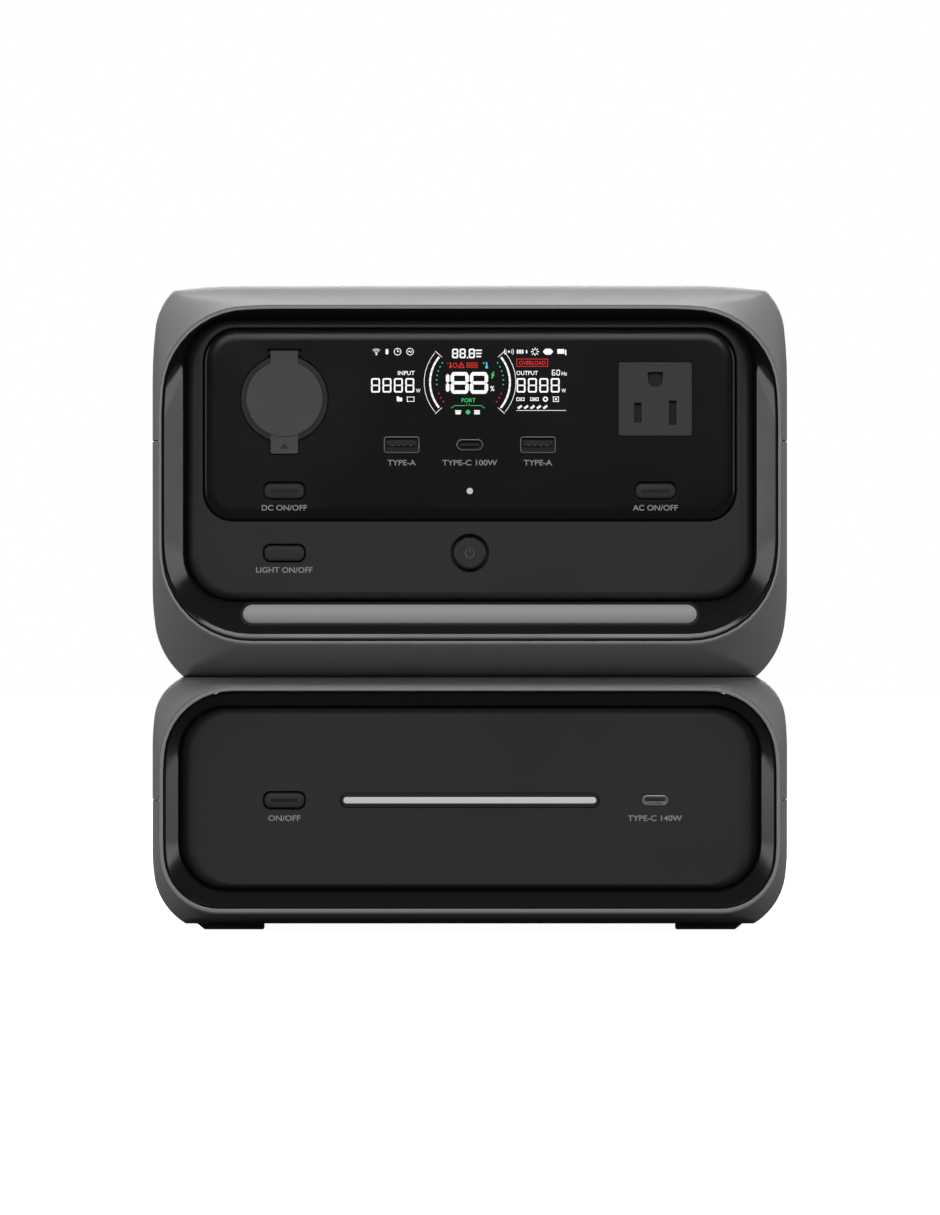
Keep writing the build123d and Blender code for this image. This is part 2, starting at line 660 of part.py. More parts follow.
def power_button():
    """The round power button."""
    head = round_bar(POWER_RADIUS, PANEL_FACE + 0.1, PANEL_FLOOR + 0.4, 0, LOWER_BUTTON_Z)
    head = fillet(head.faces().sort_by(Axis.Y)[0].edges(), 0.8)
    return head + round_bar(POWER_RADIUS + 2.6, PANEL_FLOOR + 0.3, PANEL_FLOOR + 1.5, 0, LOWER_BUTTON_Z)


def status_lamp():
    """The light pipe of the status lamp."""
    return round_bar(STATUS_RADIUS, COVER_FACE - 0.05, PANEL_FLOOR + 1, 0, UPPER_BUTTON_Z)


def usb_a_shells():
    """Metal shells of the two wide ports."""
    shells = []
    for x in (-USB_A_X, USB_A_X):
        shell = prism(tile(x, PORT_Z, 13.1, 6.1, 0.9), COVER_FACE - 0.1, COVER_FACE + 14)
        shells.append(shell - prism(tile(x, PORT_Z, 12.3, 5.1, 0.5), FRONT, COVER_FACE + 12.5))
    return shells


def usb_a_tongues():
    """Contact tongues of the two wide ports."""
    tongues = []
    for x in (-USB_A_X, USB_A_X):
        middle = PORT_Z + 0.75
        tongues.append(prism(tile(x, middle, 11.0, 1.9, 0.2), COVER_FACE + 1.0, COVER_FACE + 12.5))
    return tongues


def usb_c_shell(x, z, face, width, height):
    """Metal shell of a small rounded port."""
    shell = prism(Pos(x, z) * SlotOverall(width, height), face, face + 9)
    return shell - prism(Pos(x, z) * SlotOverall(8.3, 2.6), FRONT, face + 8)


def usb_c_tongue(x, z, face):
    """Contact tongue of a small rounded port."""
    return prism(tile(x, z, 6.6, 0.75, 0.2), face + 0.8, face + 8)


def dc_socket_barrel():
    """The round DC socket, with a flange behind the flap."""
    barrel = round_bar(SOCKET_WALL, COVER_POCKET, FRONT + 6 + SOCKET_DEPTH + 3, -SIDE_X, SOCKET_Z)
    barrel += round_bar(SOCKET_FLANGE, FRONT + 6, COVER_POCKET, -SIDE_X, SOCKET_Z)
    deep = FRONT + 6 + SOCKET_DEPTH
    barrel -= round_bar(SOCKET_BORE, FRONT + 5, deep, -SIDE_X, SOCKET_Z)
    return barrel - round_bar(CONTACT_RADIUS, deep - 1, deep + 1.5, -SIDE_X, SOCKET_Z)


def dc_socket_contact():
    """The middle contact of the DC socket."""
    deep = FRONT + 6 + SOCKET_DEPTH
    return round_bar(CONTACT_RADIUS - 0.05, deep + 0.1, deep + 1.5, -SIDE_X, SOCKET_Z)


def dc_socket_cover():
    """The flap over the DC socket: a disc with a bevelled ring, a hinge tab and a pull tab."""
    disc, top_tab, pull_tab = flap_outline(0)
    plate = prism(disc, FLAP_FACE, FLAP_BACK)
    plate = chamfer(plate.faces().sort_by(Axis.Y)[0].edges(), 0.6, 2.1)
    plate += prism(pull_tab, FLAP_FACE + 0.6, FLAP_BACK) + prism(top_tab, FLAP_FACE + 0.6, FLAP_BACK)
    half = FLAP_TAB_WIDTH / 2
    knuckle = axle(HINGE_KNUCKLE, -SIDE_X - half, -SIDE_X + half, HINGE_Y, HINGE_Z)
    return plate + knuckle - axle(HINGE_PIN + 0.05, -SIDE_X - 9, -SIDE_X + 9, HINGE_Y, HINGE_Z)


def dc_cover_hinge_pin():
    """The pin that the flap turns on."""
    return axle(HINGE_PIN, -SIDE_X - 8, -SIDE_X + 8, HINGE_Y, HINGE_Z)


def outlet_face():
    """A three-pin AC outlet at the origin, facing -Y, with its face at Y = 0."""
    width, height = OUTLET_SIZE
    body = prism(tile(0, 0, width, height, 0.8), 0, 3.0)
    body += prism(tile(0, 0, OUTLET_CORE, OUTLET_CORE, 1.2), 2.9, 20)
    for x, size in ((-BLADE_X, NARROW_BLADE), (BLADE_X, WIDE_BLADE)):
        body -= prism(Pos(x, BLADE_Z) * Rectangle(*size), -1, 17)
        body -= bevelled_mouth(Pos(x, BLADE_Z) * Rectangle(*size), 0.9)
    ground = Pos(0, GROUND_Z) * ground_outline(GROUND_SIZE)
    body -= prism(ground, -1, 17)
    return body - bevelled_mouth(ground, 0.85)


def ground_outline(size):
    """The ground hole: flat above and round below."""
    width, height = size
    lower = Pos(0, (width - height) / 2) * Circle(width / 2)
    return lower + Pos(0, width / 4) * Rectangle(width, height - width / 2)


def bevelled_mouth(sketch, width):
    """A sloping entry round a hole at Y = 0."""
    wide = Plane.XZ * offset(sketch, width, kind=Kind.INTERSECTION)
    narrow = Plane.XZ.offset(-0.9) * sketch
    return loft([wide, narrow], ruled=True)


def outlet_contacts():
    """Brass contacts at the bottom of an outlet's holes, for an outlet at the origin."""
    blades = [block((x - 0.9, x + 0.9), (13, 17), (BLADE_Z - 3, BLADE_Z + 3)) for x in (-BLADE_X, BLADE_X)]
    return blades + [block((-1.6, 1.6), (13, 17), (GROUND_Z - 1.5, GROUND_Z + 1.5))]


FRONT_OUTLET = Pos(SIDE_X, COVER_FACE - 0.1, SOCKET_Z)
REAR_OUTLETS = [Pos(x, REAR_PANEL_BACK + 0.6, REAR_OUTLET_Z) * Rot(0, 0, 180) for x in REAR_OUTLET_X]


def light_bar():
    """The lamp's lens in the lower slope of the bezel, and the board behind it."""
    lens = prism(Pos(0, LENS_Z) * SlotOverall(*LENS_SIZE), FRONT, CAVITY_FRONT - 4)
    lens &= Pos(0, 0, 0.25) * slope_block()
    board = block((-84, 84), (CAVITY_FRONT - 3.8, CAVITY_FRONT - 2.2), (LENS_Z - 5, LENS_Z + 5))
    for index in range(12):
        x = (index - 5.5) * 13.5
        board += block((x - 1.5, x + 1.5), (CAVITY_FRONT - 4.0, CAVITY_FRONT - 3.8), (LENS_Z - 1.5, LENS_Z + 1.5))
    return lens, board


def slope_block():
    """Everything behind the lower slope of the station's bezel."""
    low = STATION_RIM.z_low + STATION_LIP + CLEARANCE + BEZEL_LIP
    with BuildSketch(Plane.YZ) as behind:
        with BuildLine():
            slope_start = (BEZEL_FACE, low)
            slope_end = (BEZEL_INNER, STATION_OPENING.z_low)
            Polyline(slope_start, slope_end, (BEZEL_INNER, 130), (-60, 130), (-60, 90), (BEZEL_FACE, 90), close=True)
        make_face()
    return extrude(behind.sketch, amount=WIDTH / 2, both=True)


def station_bezel():
    """The station's bezel with the opening for the light bar."""
    ring = bezel(STATION_RIM, STATION_OPENING)
    width, height = LENS_SIZE
    ring -= prism(Pos(0, LENS_Z) * SlotOverall(width + 0.5, height + 0.5), FRONT, CAVITY_FRONT + 1)
    return ring - block((-86, 86), (CAVITY_FRONT - 4.4, CAVITY_FRONT + 1), (LENS_Z - 5.5, LENS_Z + 5.5))


# ---------------------------------------------------------------- station back and inside
def ac_inlet():
    """The mains inlet in the rear recess and its three pins."""
    width, height = INLET_SIZE
    back = REAR_PANEL_BACK
    housing = prism(tile(INLET_X, INLET_Z, width, height, 2), back - 20, back + 0.6)
    well = tile(INLET_X, INLET_Z, 24.4, 16.4, 2.5)
    housing -= prism(well, back - 16, back + 1)
    pins = [block((INLET_X + x - 1, INLET_X + x + 1), (back - 16, back - 5.6), (INLET_Z + z - 2, INLET_Z + z + 2))
            for x, z in ((-7, -2), (0, 2), (7, -2))]
    return housing, pins


def solar_inlet():
    """The solar charging inlet in the rear recess and its two contacts."""
    width, height = SOLAR_SIZE
    back = REAR_PANEL_BACK
    housing = prism(tile(SOLAR_X, SOLAR_Z, width, height, 2), back - 18, back + 0.6)
    housing -= prism(tile(SOLAR_X, SOLAR_Z, 16.2, 8.4, 1.8), back - 14, back + 1)
    contacts = [round_bar(2.2, back - 14, back - 4, SOLAR_X + x, SOLAR_Z) for x in (-3.6, 3.6)]
    return housing, contacts


def breaker_button():
    """The reset button of the circuit breaker."""
    back = REAR_PANEL_BACK
    head = round_bar(BREAKER_RADIUS, back - 5, back + 2, BREAKER_X, BREAKER_Z)
    head = fillet(head.faces().sort_by(Axis.Y)[-1].edges(), 0.8)
    flange = round_bar(BREAKER_RADIUS + 2, back - 5, back - REAR_PANEL_THICKNESS - 0.3, BREAKER_X, BREAKER_Z)
    return head + flange


def fan():
    """The right cooling fan: its frame with a bearing hub, and its rotor."""
    y, z = FAN_CENTRE
    half = FAN_SIZE / 2
    frame = block((FAN_INNER, FAN_OUTER), (y - half, y + half), (z - half, z + half))
    frame -= axle(28.4, FAN_INNER - 1, FAN_OUTER + 1, y, z)
    frame += axle(12, FAN_INNER, FAN_INNER + 2.5, y, z)
    for turn in (45, 135, 225, 315):
        strut = Pos(FAN_INNER + 1.25, y, z) * Rot(turn, 0, 0) * Pos(0, 0, 20.5) * Box(2.5, 3.5, 19)
        frame += strut
    frame -= axle(1.55, FAN_INNER - 1, FAN_INNER + 4, y, z)
    rotor = axle(12, FAN_INNER + 3.3, FAN_OUTER - 2, y, z) + axle(1.5, FAN_INNER, FAN_INNER + 3.4, y, z)
    for index in range(7):
        blade = Pos(0, 0, 19.2) * Rot(0, 0, 38) * Box(9.5, 1.2, 15.6)
        rotor += Pos(FAN_INNER + 8, y, z) * Rot(index * 360 / 7, 0, 0) * blade
    return frame, rotor


def inverter():
    """The inverter's board, transformer, capacitors and finned heat sink."""
    board = block((-84, 84), (-58, 62), (176, 177.6))
    core = block((-70, -34), (-40, -8), (177.6, 206))
    winding = block((-66, -38), (-46, -2), (181, 202))
    capacitors = [column(9, 177.6, 210, x, 34) for x in (-60, -38, -16)]
    sink = block((4, 76), (-50, 50), (177.6, 181))
    for index in range(10):
        x = 6 + index * 7.4
        sink += block((x, x + 1.6), (-50, 50), (181, 205))
    return board, core + winding, capacitors, sink


def build_parts():
    """Every sub-part by its node name."""
    parts = {}
    parts["battery_base_shell"], parts["battery_top_shell"] = battery_shells()
    parts["battery_front_bezel"] = bezel(BATTERY_RIM, BATTERY_OPENING)
    parts["battery_front_panel"] = battery_panel()
    parts["battery_status_bar"], parts["battery_bar_frame"] = battery_status_bar()
    parts["battery_button"] = button(-SIDE_X, BATTERY_CONTROL_Z, PANEL_FACE + 0.1)
    parts["battery_usb_c_shell"] = usb_c_shell(SIDE_X, BATTERY_CONTROL_Z, PANEL_FACE - 0.1, 9.5, 3.7)
    parts["battery_usb_c_tongue"] = usb_c_tongue(SIDE_X, BATTERY_CONTROL_Z, PANEL_FACE - 0.1)
    parts["battery_feet"] = battery_feet()
    parts["battery_rear_panel"] = battery_rear_panel()
    parts["lock_plate"], parts["lock_tab"] = lock_slider()
    parts["dock_plug"], parts["dock_blades"] = dock_plug()
    cells, holder, strips = cell_pack(6, 5, 10.5, 7.0)
    parts["battery_cells"], parts["battery_cell_holder"], parts["battery_busbars"] = cells, holder, strips
    chips = [(-45, 50, 14, 14), (-15, 30, 10, 10), (20, 48, 18, 12), (50, 30, 12, 16)]
    parts["battery_management_board"] = upright_board(70, -86, (15, 75), chips)
    parts["battery_screws"] = case_screws(102.3, FEET_HEIGHT)

    parts["station_bottom_shell"], parts["station_top_shell"] = station_shells()
    parts["handle_grip_pad"] = handle_grip_pad()
    parts["station_front_bezel"] = station_bezel()
    parts["station_front_panel"] = station_panel()
    parts["display_cover"] = display_cover()
    parts["lcd_module"] = lcd_module()
    parts["dc_button"] = button(-SIDE_X, UPPER_BUTTON_Z, COVER_FACE + 0.1)
    parts["ac_button"] = button(SIDE_X, UPPER_BUTTON_Z, COVER_FACE + 0.1)
    parts["light_button"] = button(-SIDE_X, LOWER_BUTTON_Z, PANEL_FACE + 0.1)
    parts["power_button"] = power_button()
    parts["status_lamp"] = status_lamp()
    parts["light_bar_lens"], light_bar_board = light_bar()
    port_face = COVER_FACE - 0.1
    parts["usb_shells"] = Compound(usb_a_shells() + [usb_c_shell(0, PORT_Z, port_face, 10.0, 4.4)])
    parts["usb_tongues"] = Compound(usb_a_tongues() + [usb_c_tongue(0, PORT_Z, port_face)])
    parts["dc_socket_barrel"] = dc_socket_barrel()
    parts["dc_socket_cover"] = dc_socket_cover()
    parts["dc_cover_hinge_pin"] = dc_cover_hinge_pin()
    parts["ac_outlet_front"] = FRONT_OUTLET * outlet_face()
    parts["ac_outlets_rear"] = Compound([place * outlet_face() for place in REAR_OUTLETS])
    contacts = [place * piece for place in [FRONT_OUTLET, *REAR_OUTLETS] for piece in outlet_contacts()]
    parts["socket_contacts"] = Compound([dc_socket_contact(), *contacts])
    parts["rear_lining"] = rear_lining()
    parts["rear_panel"] = rear_panel()
    ac_housing, ac_pins = ac_inlet()
    solar_housing, solar_contacts = solar_inlet()
    parts["rear_inlets"] = Compound([ac_housing, solar_housing])
    parts["rear_inlet_pins"] = Compound(ac_pins + solar_contacts)
    parts["breaker_button"] = breaker_button()
    parts["side_vents"] = Compound([vent_grille(), mirrored(vent_grille())])
    frame, rotor = fan()
    parts["fan_frames"] = Compound([frame, mirrored(frame)])
    parts["fan_rotor_right"], parts["fan_rotor_left"] = rotor, mirrored(rotor)
    cells, holder, strips = cell_pack(4, 4, 4.5, 99.0)
    parts["station_cells"], parts["station_cell_holder"], parts["station_busbars"] = cells, holder, strips
    chips = [(-30, 130, 16, 16), (5, 120, 10, 20), (35, 140, 14, 10)]
    management_board = upright_board(58, -65.8, (108, 165), chips)
    inverter_board, transformer, capacitors, parts["heat_sink"] = inverter()
    parts["station_boards"] = Compound([control_board(), light_bar_board, management_board, inverter_board])
    parts["inverter_power_parts"] = Compound([transformer, *capacitors])
    parts["station_feet"] = station_feet()
    parts["lock_studs"] = lock_studs()
    parts["dock_socket"] = dock_socket()
    parts["station_screws"] = case_screws(99, JOIN_HEIGHT)
    return parts


os.makedirs("parts", exist_ok=True)
for node, shape in build_parts().items():
    export_step(shape, f"parts/{node}.step")
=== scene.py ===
"""Looks of a portable power station that stands on an extra battery module.

The builders below work in millimetres, with +X to the right, +Y towards the back and +Z up, and the
origin on the floor under the middle of the footprint. A finished mesh is in metres.
"""

import json
import logging
from collections.abc import Callable
from dataclasses import dataclass, field, replace
from enum import Enum
from math import asin, atan2, cos, degrees, hypot, pi, radians, sin

import bmesh
import bpy
from mathutils import Matrix, Vector

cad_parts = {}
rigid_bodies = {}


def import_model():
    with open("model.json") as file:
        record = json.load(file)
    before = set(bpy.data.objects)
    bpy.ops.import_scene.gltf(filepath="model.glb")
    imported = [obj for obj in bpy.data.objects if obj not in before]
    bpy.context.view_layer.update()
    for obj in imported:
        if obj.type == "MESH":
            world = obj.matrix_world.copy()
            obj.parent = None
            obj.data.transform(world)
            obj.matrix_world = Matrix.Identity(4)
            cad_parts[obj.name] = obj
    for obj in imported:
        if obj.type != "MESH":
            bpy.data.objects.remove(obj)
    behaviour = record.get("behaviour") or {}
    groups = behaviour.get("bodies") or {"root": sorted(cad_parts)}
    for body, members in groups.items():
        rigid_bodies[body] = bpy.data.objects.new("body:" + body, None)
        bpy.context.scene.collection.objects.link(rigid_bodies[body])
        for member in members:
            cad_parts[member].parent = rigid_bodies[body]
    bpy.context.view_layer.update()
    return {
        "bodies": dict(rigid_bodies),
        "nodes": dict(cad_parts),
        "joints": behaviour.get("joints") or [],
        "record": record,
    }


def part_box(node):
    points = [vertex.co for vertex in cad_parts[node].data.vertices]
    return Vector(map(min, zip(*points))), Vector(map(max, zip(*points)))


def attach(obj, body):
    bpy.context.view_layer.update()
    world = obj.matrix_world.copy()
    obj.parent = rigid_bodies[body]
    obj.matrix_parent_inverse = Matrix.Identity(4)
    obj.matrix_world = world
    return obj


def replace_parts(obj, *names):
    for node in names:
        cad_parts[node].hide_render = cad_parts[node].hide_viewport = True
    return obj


log = logging.getLogger("power station")
MM = 0.001
FRONT = -116.0
CREASE = radians(50)

# Where the controls sit, and how deep a cutter through a front reaches.
SIDE_X = 68.3
PORT_X = 25.1
BATTERY_Z = 48.1
LIGHT_Z = 139.1
BUTTON_Z = 162.0
PORT_Z = 179.0
SOCKET_Z = 195.9
THROUGH = (-118, -100)


# ---------------------------------------------------------------- drawing bench
class Bench:
    """One mesh on the bench, shaped in millimetres with bmesh operators."""

    def __init__(self) -> None:
        """Start with nothing on the bench."""
        self.bm = bmesh.new()

    def start(self, x: float, y: float, z: float) -> bmesh.types.BMVert:
        """Put down one point."""
        return bmesh.ops.create_vert(self.bm, co=(x, y, z))["vert"][0]

    def reach(self, vert: bmesh.types.BMVert, x: float, z: float) -> bmesh.types.BMVert:
        """Draw a straight line from a point, at the same depth.

        Args:
            vert: the point to draw from.
            x: where the line ends, across.
            z: where the line ends, upwards.

        Returns:
            The point at the end of the line.
        """
        made = bmesh.ops.extrude_vert_indiv(self.bm, verts=[vert])["verts"][0]
        made.co = (x, vert.co.y, z)
        return made

    def arc(
        self, vert: bmesh.types.BMVert, centre: tuple[float, float], angle: float, steps: int
    ) -> bmesh.types.BMVert:
        """Draw an arc from a point, anticlockwise as seen from the front.

        Args:
            vert: the point to draw from.
            centre: X and Z of the arc's centre.
            angle: how far to turn, in degrees.
            steps: number of straight pieces in the arc.

        Returns:
            The point at the end of the arc.
        """
        made = bmesh.ops.spin(
            self.bm,
            geom=[vert],
            cent=(centre[0], vert.co.y, centre[1]),
            axis=(0, -1, 0),
            angle=radians(angle),
            steps=steps,
        )
        return next(e for e in made["geom_last"] if isinstance(e, bmesh.types.BMVert))

    def fresh_edges(self, known: set[bmesh.types.BMEdge]) -> list[bmesh.types.BMEdge]:
        """The edges that were drawn since a set of them was noted."""
        return [edge for edge in self.bm.edges if edge not in known]

    def mirrored_ring(self, known: set[bmesh.types.BMEdge]) -> list[bmesh.types.BMEdge]:
        """Close a half outline by mirroring what was drawn since a set of edges was noted."""
        half = self.fresh_edges(known)
        points = {vert for edge in half for vert in edge.verts}
        bmesh.ops.mirror(
            self.bm, geom=[*points, *half], matrix=Matrix.Identity(4), merge_dist=1e-4, axis="X"
        )
        return self.fresh_edges(known)

    def tile(
        self, x: float, y: float, z: float, width: float, height: float, corner: float, steps: int = 6
    ) -> list[bmesh.types.BMEdge]:
        """Draw a rounded rectangle that faces the front.

        Args:
            x: middle, across.
            y: depth.
            z: middle, upwards.
            width: size across.
            height: size upwards.
            corner: radius of its corners.
            steps: number of pieces in each corner.

        Returns:
            The edges of the outline.
        """
        known = set(self.bm.edges)
        made = bmesh.ops.create_grid(self.bm, x_segments=1, y_segments=1, size=0.5)["verts"]
        place = Matrix.Translation((x, y, z)) @ Matrix.Rotation(pi / 2, 4, "X")
        bmesh.ops.transform(self.bm, matrix=place @ Matrix.Diagonal((width, height, 1, 1)), verts=made)
        corner = min(corner, width / 2 - 1e-3, height / 2 - 1e-3)
        if corner > 0:
            bmesh.ops.bevel(
                self.bm,
                geom=made,
                offset=corner,
                offset_type="OFFSET",
                affect="VERTICES",
                segments=steps,
                profile=0.5,
                material=-1,
            )
        edges = self.fresh_edges(known)
        faces = {face for edge in edges for face in edge.link_faces}
        bmesh.ops.delete(self.bm, geom=list(faces), context="FACES_ONLY")
        return edges

    def disc(self, x: float, y: float, z: float, radius: float, steps: int = 48) -> list[bmesh.types.BMEdge]:
        """Draw a circle that faces the front."""
        known = set(self.bm.edges)
        place = Matrix.Translation((x, y, z)) @ Matrix.Rotation(pi / 2, 4, "X")
        bmesh.ops.create_circle(self.bm, cap_ends=False, radius=radius, segments=steps, matrix=place)
        return self.fresh_edges(known)

    def skin(self, rings: list[list[bmesh.types.BMEdge]], closed: bool = False) -> None:
        """Join outlines in order; a closed skin also joins the last one to the first."""
        pairs = list(zip(rings, rings[1:] + rings[:1] if closed else rings[1:]))
        for first, second in pairs:
            bmesh.ops.bridge_loops(self.bm, edges=[*first, *second])

    def cap(self, ring: list[bmesh.types.BMEdge]) -> None:
        """Fill an outline with one flat face."""
        bmesh.ops.contextual_create(self.bm, geom=ring)

    def solid(self, rings: list[list[bmesh.types.BMEdge]]) -> None:
        """Join outlines in order and close both ends."""
        self.skin(rings)
        self.cap(rings[0])
        self.cap(rings[-1])

    def tidy(self) -> None:
        """Merge doubles and turn every face outwards."""
        bmesh.ops.remove_doubles(self.bm, verts=self.bm.verts, dist=1e-4)
        bmesh.ops.recalc_face_normals(self.bm, faces=self.bm.faces)

    def move(self, matrix: Matrix) -> None:
        """Move everything on the bench."""
        bmesh.ops.transform(self.bm, matrix=matrix, verts=self.bm.verts)

    def add(self, other: "Bench") -> None:
        """Put another bench's mesh down beside this one, as a solid of its own."""
        other.tidy()
        mesh = bpy.data.meshes.new("laid down")
        other.bm.to_mesh(mesh)
        self.bm.from_mesh(mesh)
        bpy.data.meshes.remove(mesh)

    def carve(self, cutter: "Bench") -> None:
        """Cut another bench's solids out of this one.

        Args:
            cutter: the solids to take away; they are used up.
        """
        blanks = []
        for bench in (self, cutter):
            bench.tidy()
            mesh = bpy.data.meshes.new("blank")
            bench.bm.to_mesh(mesh)
            blank = bpy.data.objects.new("blank", mesh)
            bpy.context.scene.collection.objects.link(blank)
            blanks.append(blank)
        cut = blanks[0].modifiers.new("cut", "BOOLEAN")
        cut.operation = "DIFFERENCE"
        cut.solver = "EXACT"
        cut.object = blanks[1]
        seen = blanks[0].evaluated_get(bpy.context.evaluated_depsgraph_get())
        self.bm.clear()
        self.bm.from_mesh(seen.to_mesh())
        seen.to_mesh_clear()
        for blank in blanks:
            mesh = blank.data
            bpy.data.objects.remove(blank)
            bpy.data.meshes.remove(mesh)
        cutter.bm.free()

    def soften(self, wanted: Callable[[Vector, Vector], bool], width: float, segments: int = 2) -> None:
        """Round the edges that a test picks.

        Args:
            wanted: a test that is given an edge's two ends and says whether to round it.
            width: how far the rounding reaches from the edge.
            segments: number of pieces across the rounding.
        """
        edges = [
            edge
            for edge in self.bm.edges
            if len(edge.link_faces) == 2
            and edge.calc_face_angle(0.0) > CREASE
            and wanted(edge.verts[0].co, edge.verts[1].co)
        ]
        bmesh.ops.bevel(
            self.bm,
            geom=edges,
            offset=width,
            offset_type="OFFSET",
            affect="EDGES",
            segments=segments,
            profile=0.5,
            material=-1,
            clamp_overlap=True,
        )

    def halve(self, z: float, keep_above: bool) -> None:
        """Saw everything at a height, keep one half and close its cut.

        Args:
            z: height of the saw cut.
            keep_above: whether the upper half stays.
        """
        self.tidy()
        cut = bmesh.ops.bisect_plane(
            self.bm,
            geom=[*self.bm.verts, *self.bm.edges, *self.bm.faces],
            dist=1e-5,
            plane_co=(0, 0, z),
            plane_no=(0, 0, 1),
            clear_inner=keep_above,
            clear_outer=not keep_above,
        )
        edges = [item for item in cut["geom_cut"] if isinstance(item, bmesh.types.BMEdge)]
        bmesh.ops.holes_fill(self.bm, edges=edges, sides=0)

    def piece(self, name: str, finish: "Finish", body: str, sharp: float = 35.0) -> bpy.types.Object:
        """Take the mesh off the bench as a finished piece.

        Args:
            name: the piece's name.
            finish: what it is made of.
            body: the moving body it belongs to.
            sharp: edges that turn by more than this many degrees stay crisp.

        Returns:
            The piece, riding on its body.
        """
        self.tidy()
        bmesh.ops.scale(self.bm, vec=(MM, MM, MM), verts=self.bm.verts)
        mesh = bpy.data.meshes.new(name)
        self.bm.to_mesh(mesh)
        self.bm.free()
        made = bpy.data.objects.new(name, mesh)
        bpy.context.scene.collection.objects.link(made)
        mesh.shade_smooth()
        mesh.set_sharp_from_angle(angle=radians(sharp))
        even = made.modifiers.new("even shading", "WEIGHTED_NORMAL")
        even.keep_sharp = True
        mesh.materials.append(finish.material())
        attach(made, body)
        log.info("%s on %s: %d faces", name, body, len(mesh.polygons))
        return made


def soft_edge(face: float, radius: float, steps: int = 4) -> list[tuple[float, float]]:
    """How far in and how deep each outline of a rounded front edge lies.

    Args:
        face: depth of the flat face.
        radius: radius of the rounding.
        steps: number of pieces across it.

    Returns:
        Pairs of inset and depth, from the side wall to the face.
    """
    turns = [pi / 2 * i / steps for i in range(steps + 1)]
    return [(radius * (1 - cos(turn)), face + radius * (1 - sin(turn))) for turn in turns]


@dataclass(frozen=True)
class Place:
    """Where a node of the frame lies, in millimetres."""

    low: Vector
    high: Vector

    @classmethod
    def of(cls, node: str) -> "Place":
        """The place of a node by name."""
        low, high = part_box(node)
        return cls(low / MM, high / MM)

    @property
    def middle(self) -> Vector:
        """The middle of the place."""
        return (self.low + self.high) / 2

    @property
    def size(self) -> Vector:
        """The size of the place."""
        return self.high - self.low


# ---------------------------------------------------------------- outlines of the case
@dataclass(frozen=True)
class Corner:
    """A gentle flank arc that leads into a tighter corner arc."""

    flank_radius: float
    flank_angle: float
    radius: float
    end_angle: float

    def shrunk(self, amount: float) -> "Corner":
        """The corner moved inwards."""
        return replace(self, flank_radius=self.flank_radius - amount, radius=self.radius - amount)

    def towards(self, other: "Corner", share: float) -> "Corner":
        """The corner part of the way to another one."""
        return Corner(
            self.flank_radius + (other.flank_radius - self.flank_radius) * share,
            self.flank_angle + (other.flank_angle - self.flank_angle) * share,
            self.radius + (other.radius - self.radius) * share,
            self.end_angle + (other.end_angle - self.end_angle) * share,
        )

    def height(self) -> float:
        """How much of the side the two arcs take."""
        flank = sin(radians(self.flank_angle))
        return self.flank_radius * flank + self.radius * (sin(radians(self.end_angle)) - flank)

    def centres(self, half_width: float, level: float, upwards: int) -> list[tuple[float, float]]:
        """Centres of the flank arc and of the corner arc.

        Args:
            half_width: X of the straight side.
            level: Z where the side starts to bend.
            upwards: 1 for a corner at the top, -1 for one at the bottom.

        Returns:
            The two centres as X and Z.
        """
        turn = radians(self.flank_angle)
        step = self.flank_radius - self.radius
        flank = (half_width - self.flank_radius, level)
        return [flank, (flank[0] + step * cos(turn), level + upwards * step * sin(turn))]


@dataclass(frozen=True)
class Section:
    """The outline of a case across its depth: straight sides, soft corners and a slight crown."""

    half_width: float
    z_low: float
    z_high: float
    low: Corner
    high: Corner
    crown: float = 0.02
    half_flat: float = 70.0

    def inset(self, amount: float) -> "Section":
        """The outline moved inwards."""
        return replace(
            self,
            half_width=self.half_width - amount,
            z_low=self.z_low + amount,
            z_high=self.z_high - amount,
            low=self.low.shrunk(amount),
            high=self.high.shrunk(amount),
        )

    def towards(self, other: "Section", share: float) -> "Section":
        """The outline part of the way to another one."""

        def mixed(first: float, second: float) -> float:
            """A length part of the way from first to second."""
            return first + (second - first) * share

        return Section(
            mixed(self.half_width, other.half_width),
            mixed(self.z_low, other.z_low),
            mixed(self.z_high, other.z_high),
            self.low.towards(other.low, share),
            self.high.towards(other.high, share),
            mixed(self.crown, other.crown),
            mixed(self.half_flat, other.half_flat),
        )

    def draw(self, bench: Bench, y: float) -> list[bmesh.types.BMEdge]:
        """Draw the closed outline at a depth.

        Args:
            bench: the bench to draw on.
            y: the depth.

        Returns:
            The edges of the outline.
        """
        known = set(bench.bm.edges)
        low_start = self.z_low + self.low.height()
        high_start = self.z_high - self.crown - self.high.height()
        flank, corner = self.low.centres(self.half_width, low_start, -1)
        turn = radians(self.low.end_angle)
        point = bench.start(0, y, self.z_low)
        point = bench.reach(point, corner[0] + self.low.radius * cos(turn), self.z_low)
        point = bench.arc(point, corner, self.low.end_angle - self.low.flank_angle, 10)
        point = bench.arc(point, flank, self.low.flank_angle, 3)
        point = bench.reach(point, self.half_width, high_start)
        flank, corner = self.high.centres(self.half_width, high_start, 1)
        point = bench.arc(point, flank, self.high.flank_angle, 3)
        point = bench.arc(point, corner, self.high.end_angle - self.high.flank_angle, 10)
        span = point.co.x - self.half_flat
        crown = max(self.crown, 0.02)
        radius = (span**2 + crown**2) / (2 * crown)
        centre = (self.half_flat, point.co.z + crown - radius)
        point = bench.arc(point, centre, degrees(asin(span / radius)), 4)
        bench.reach(point, 0, point.co.z)
        return bench.mirrored_ring(known)


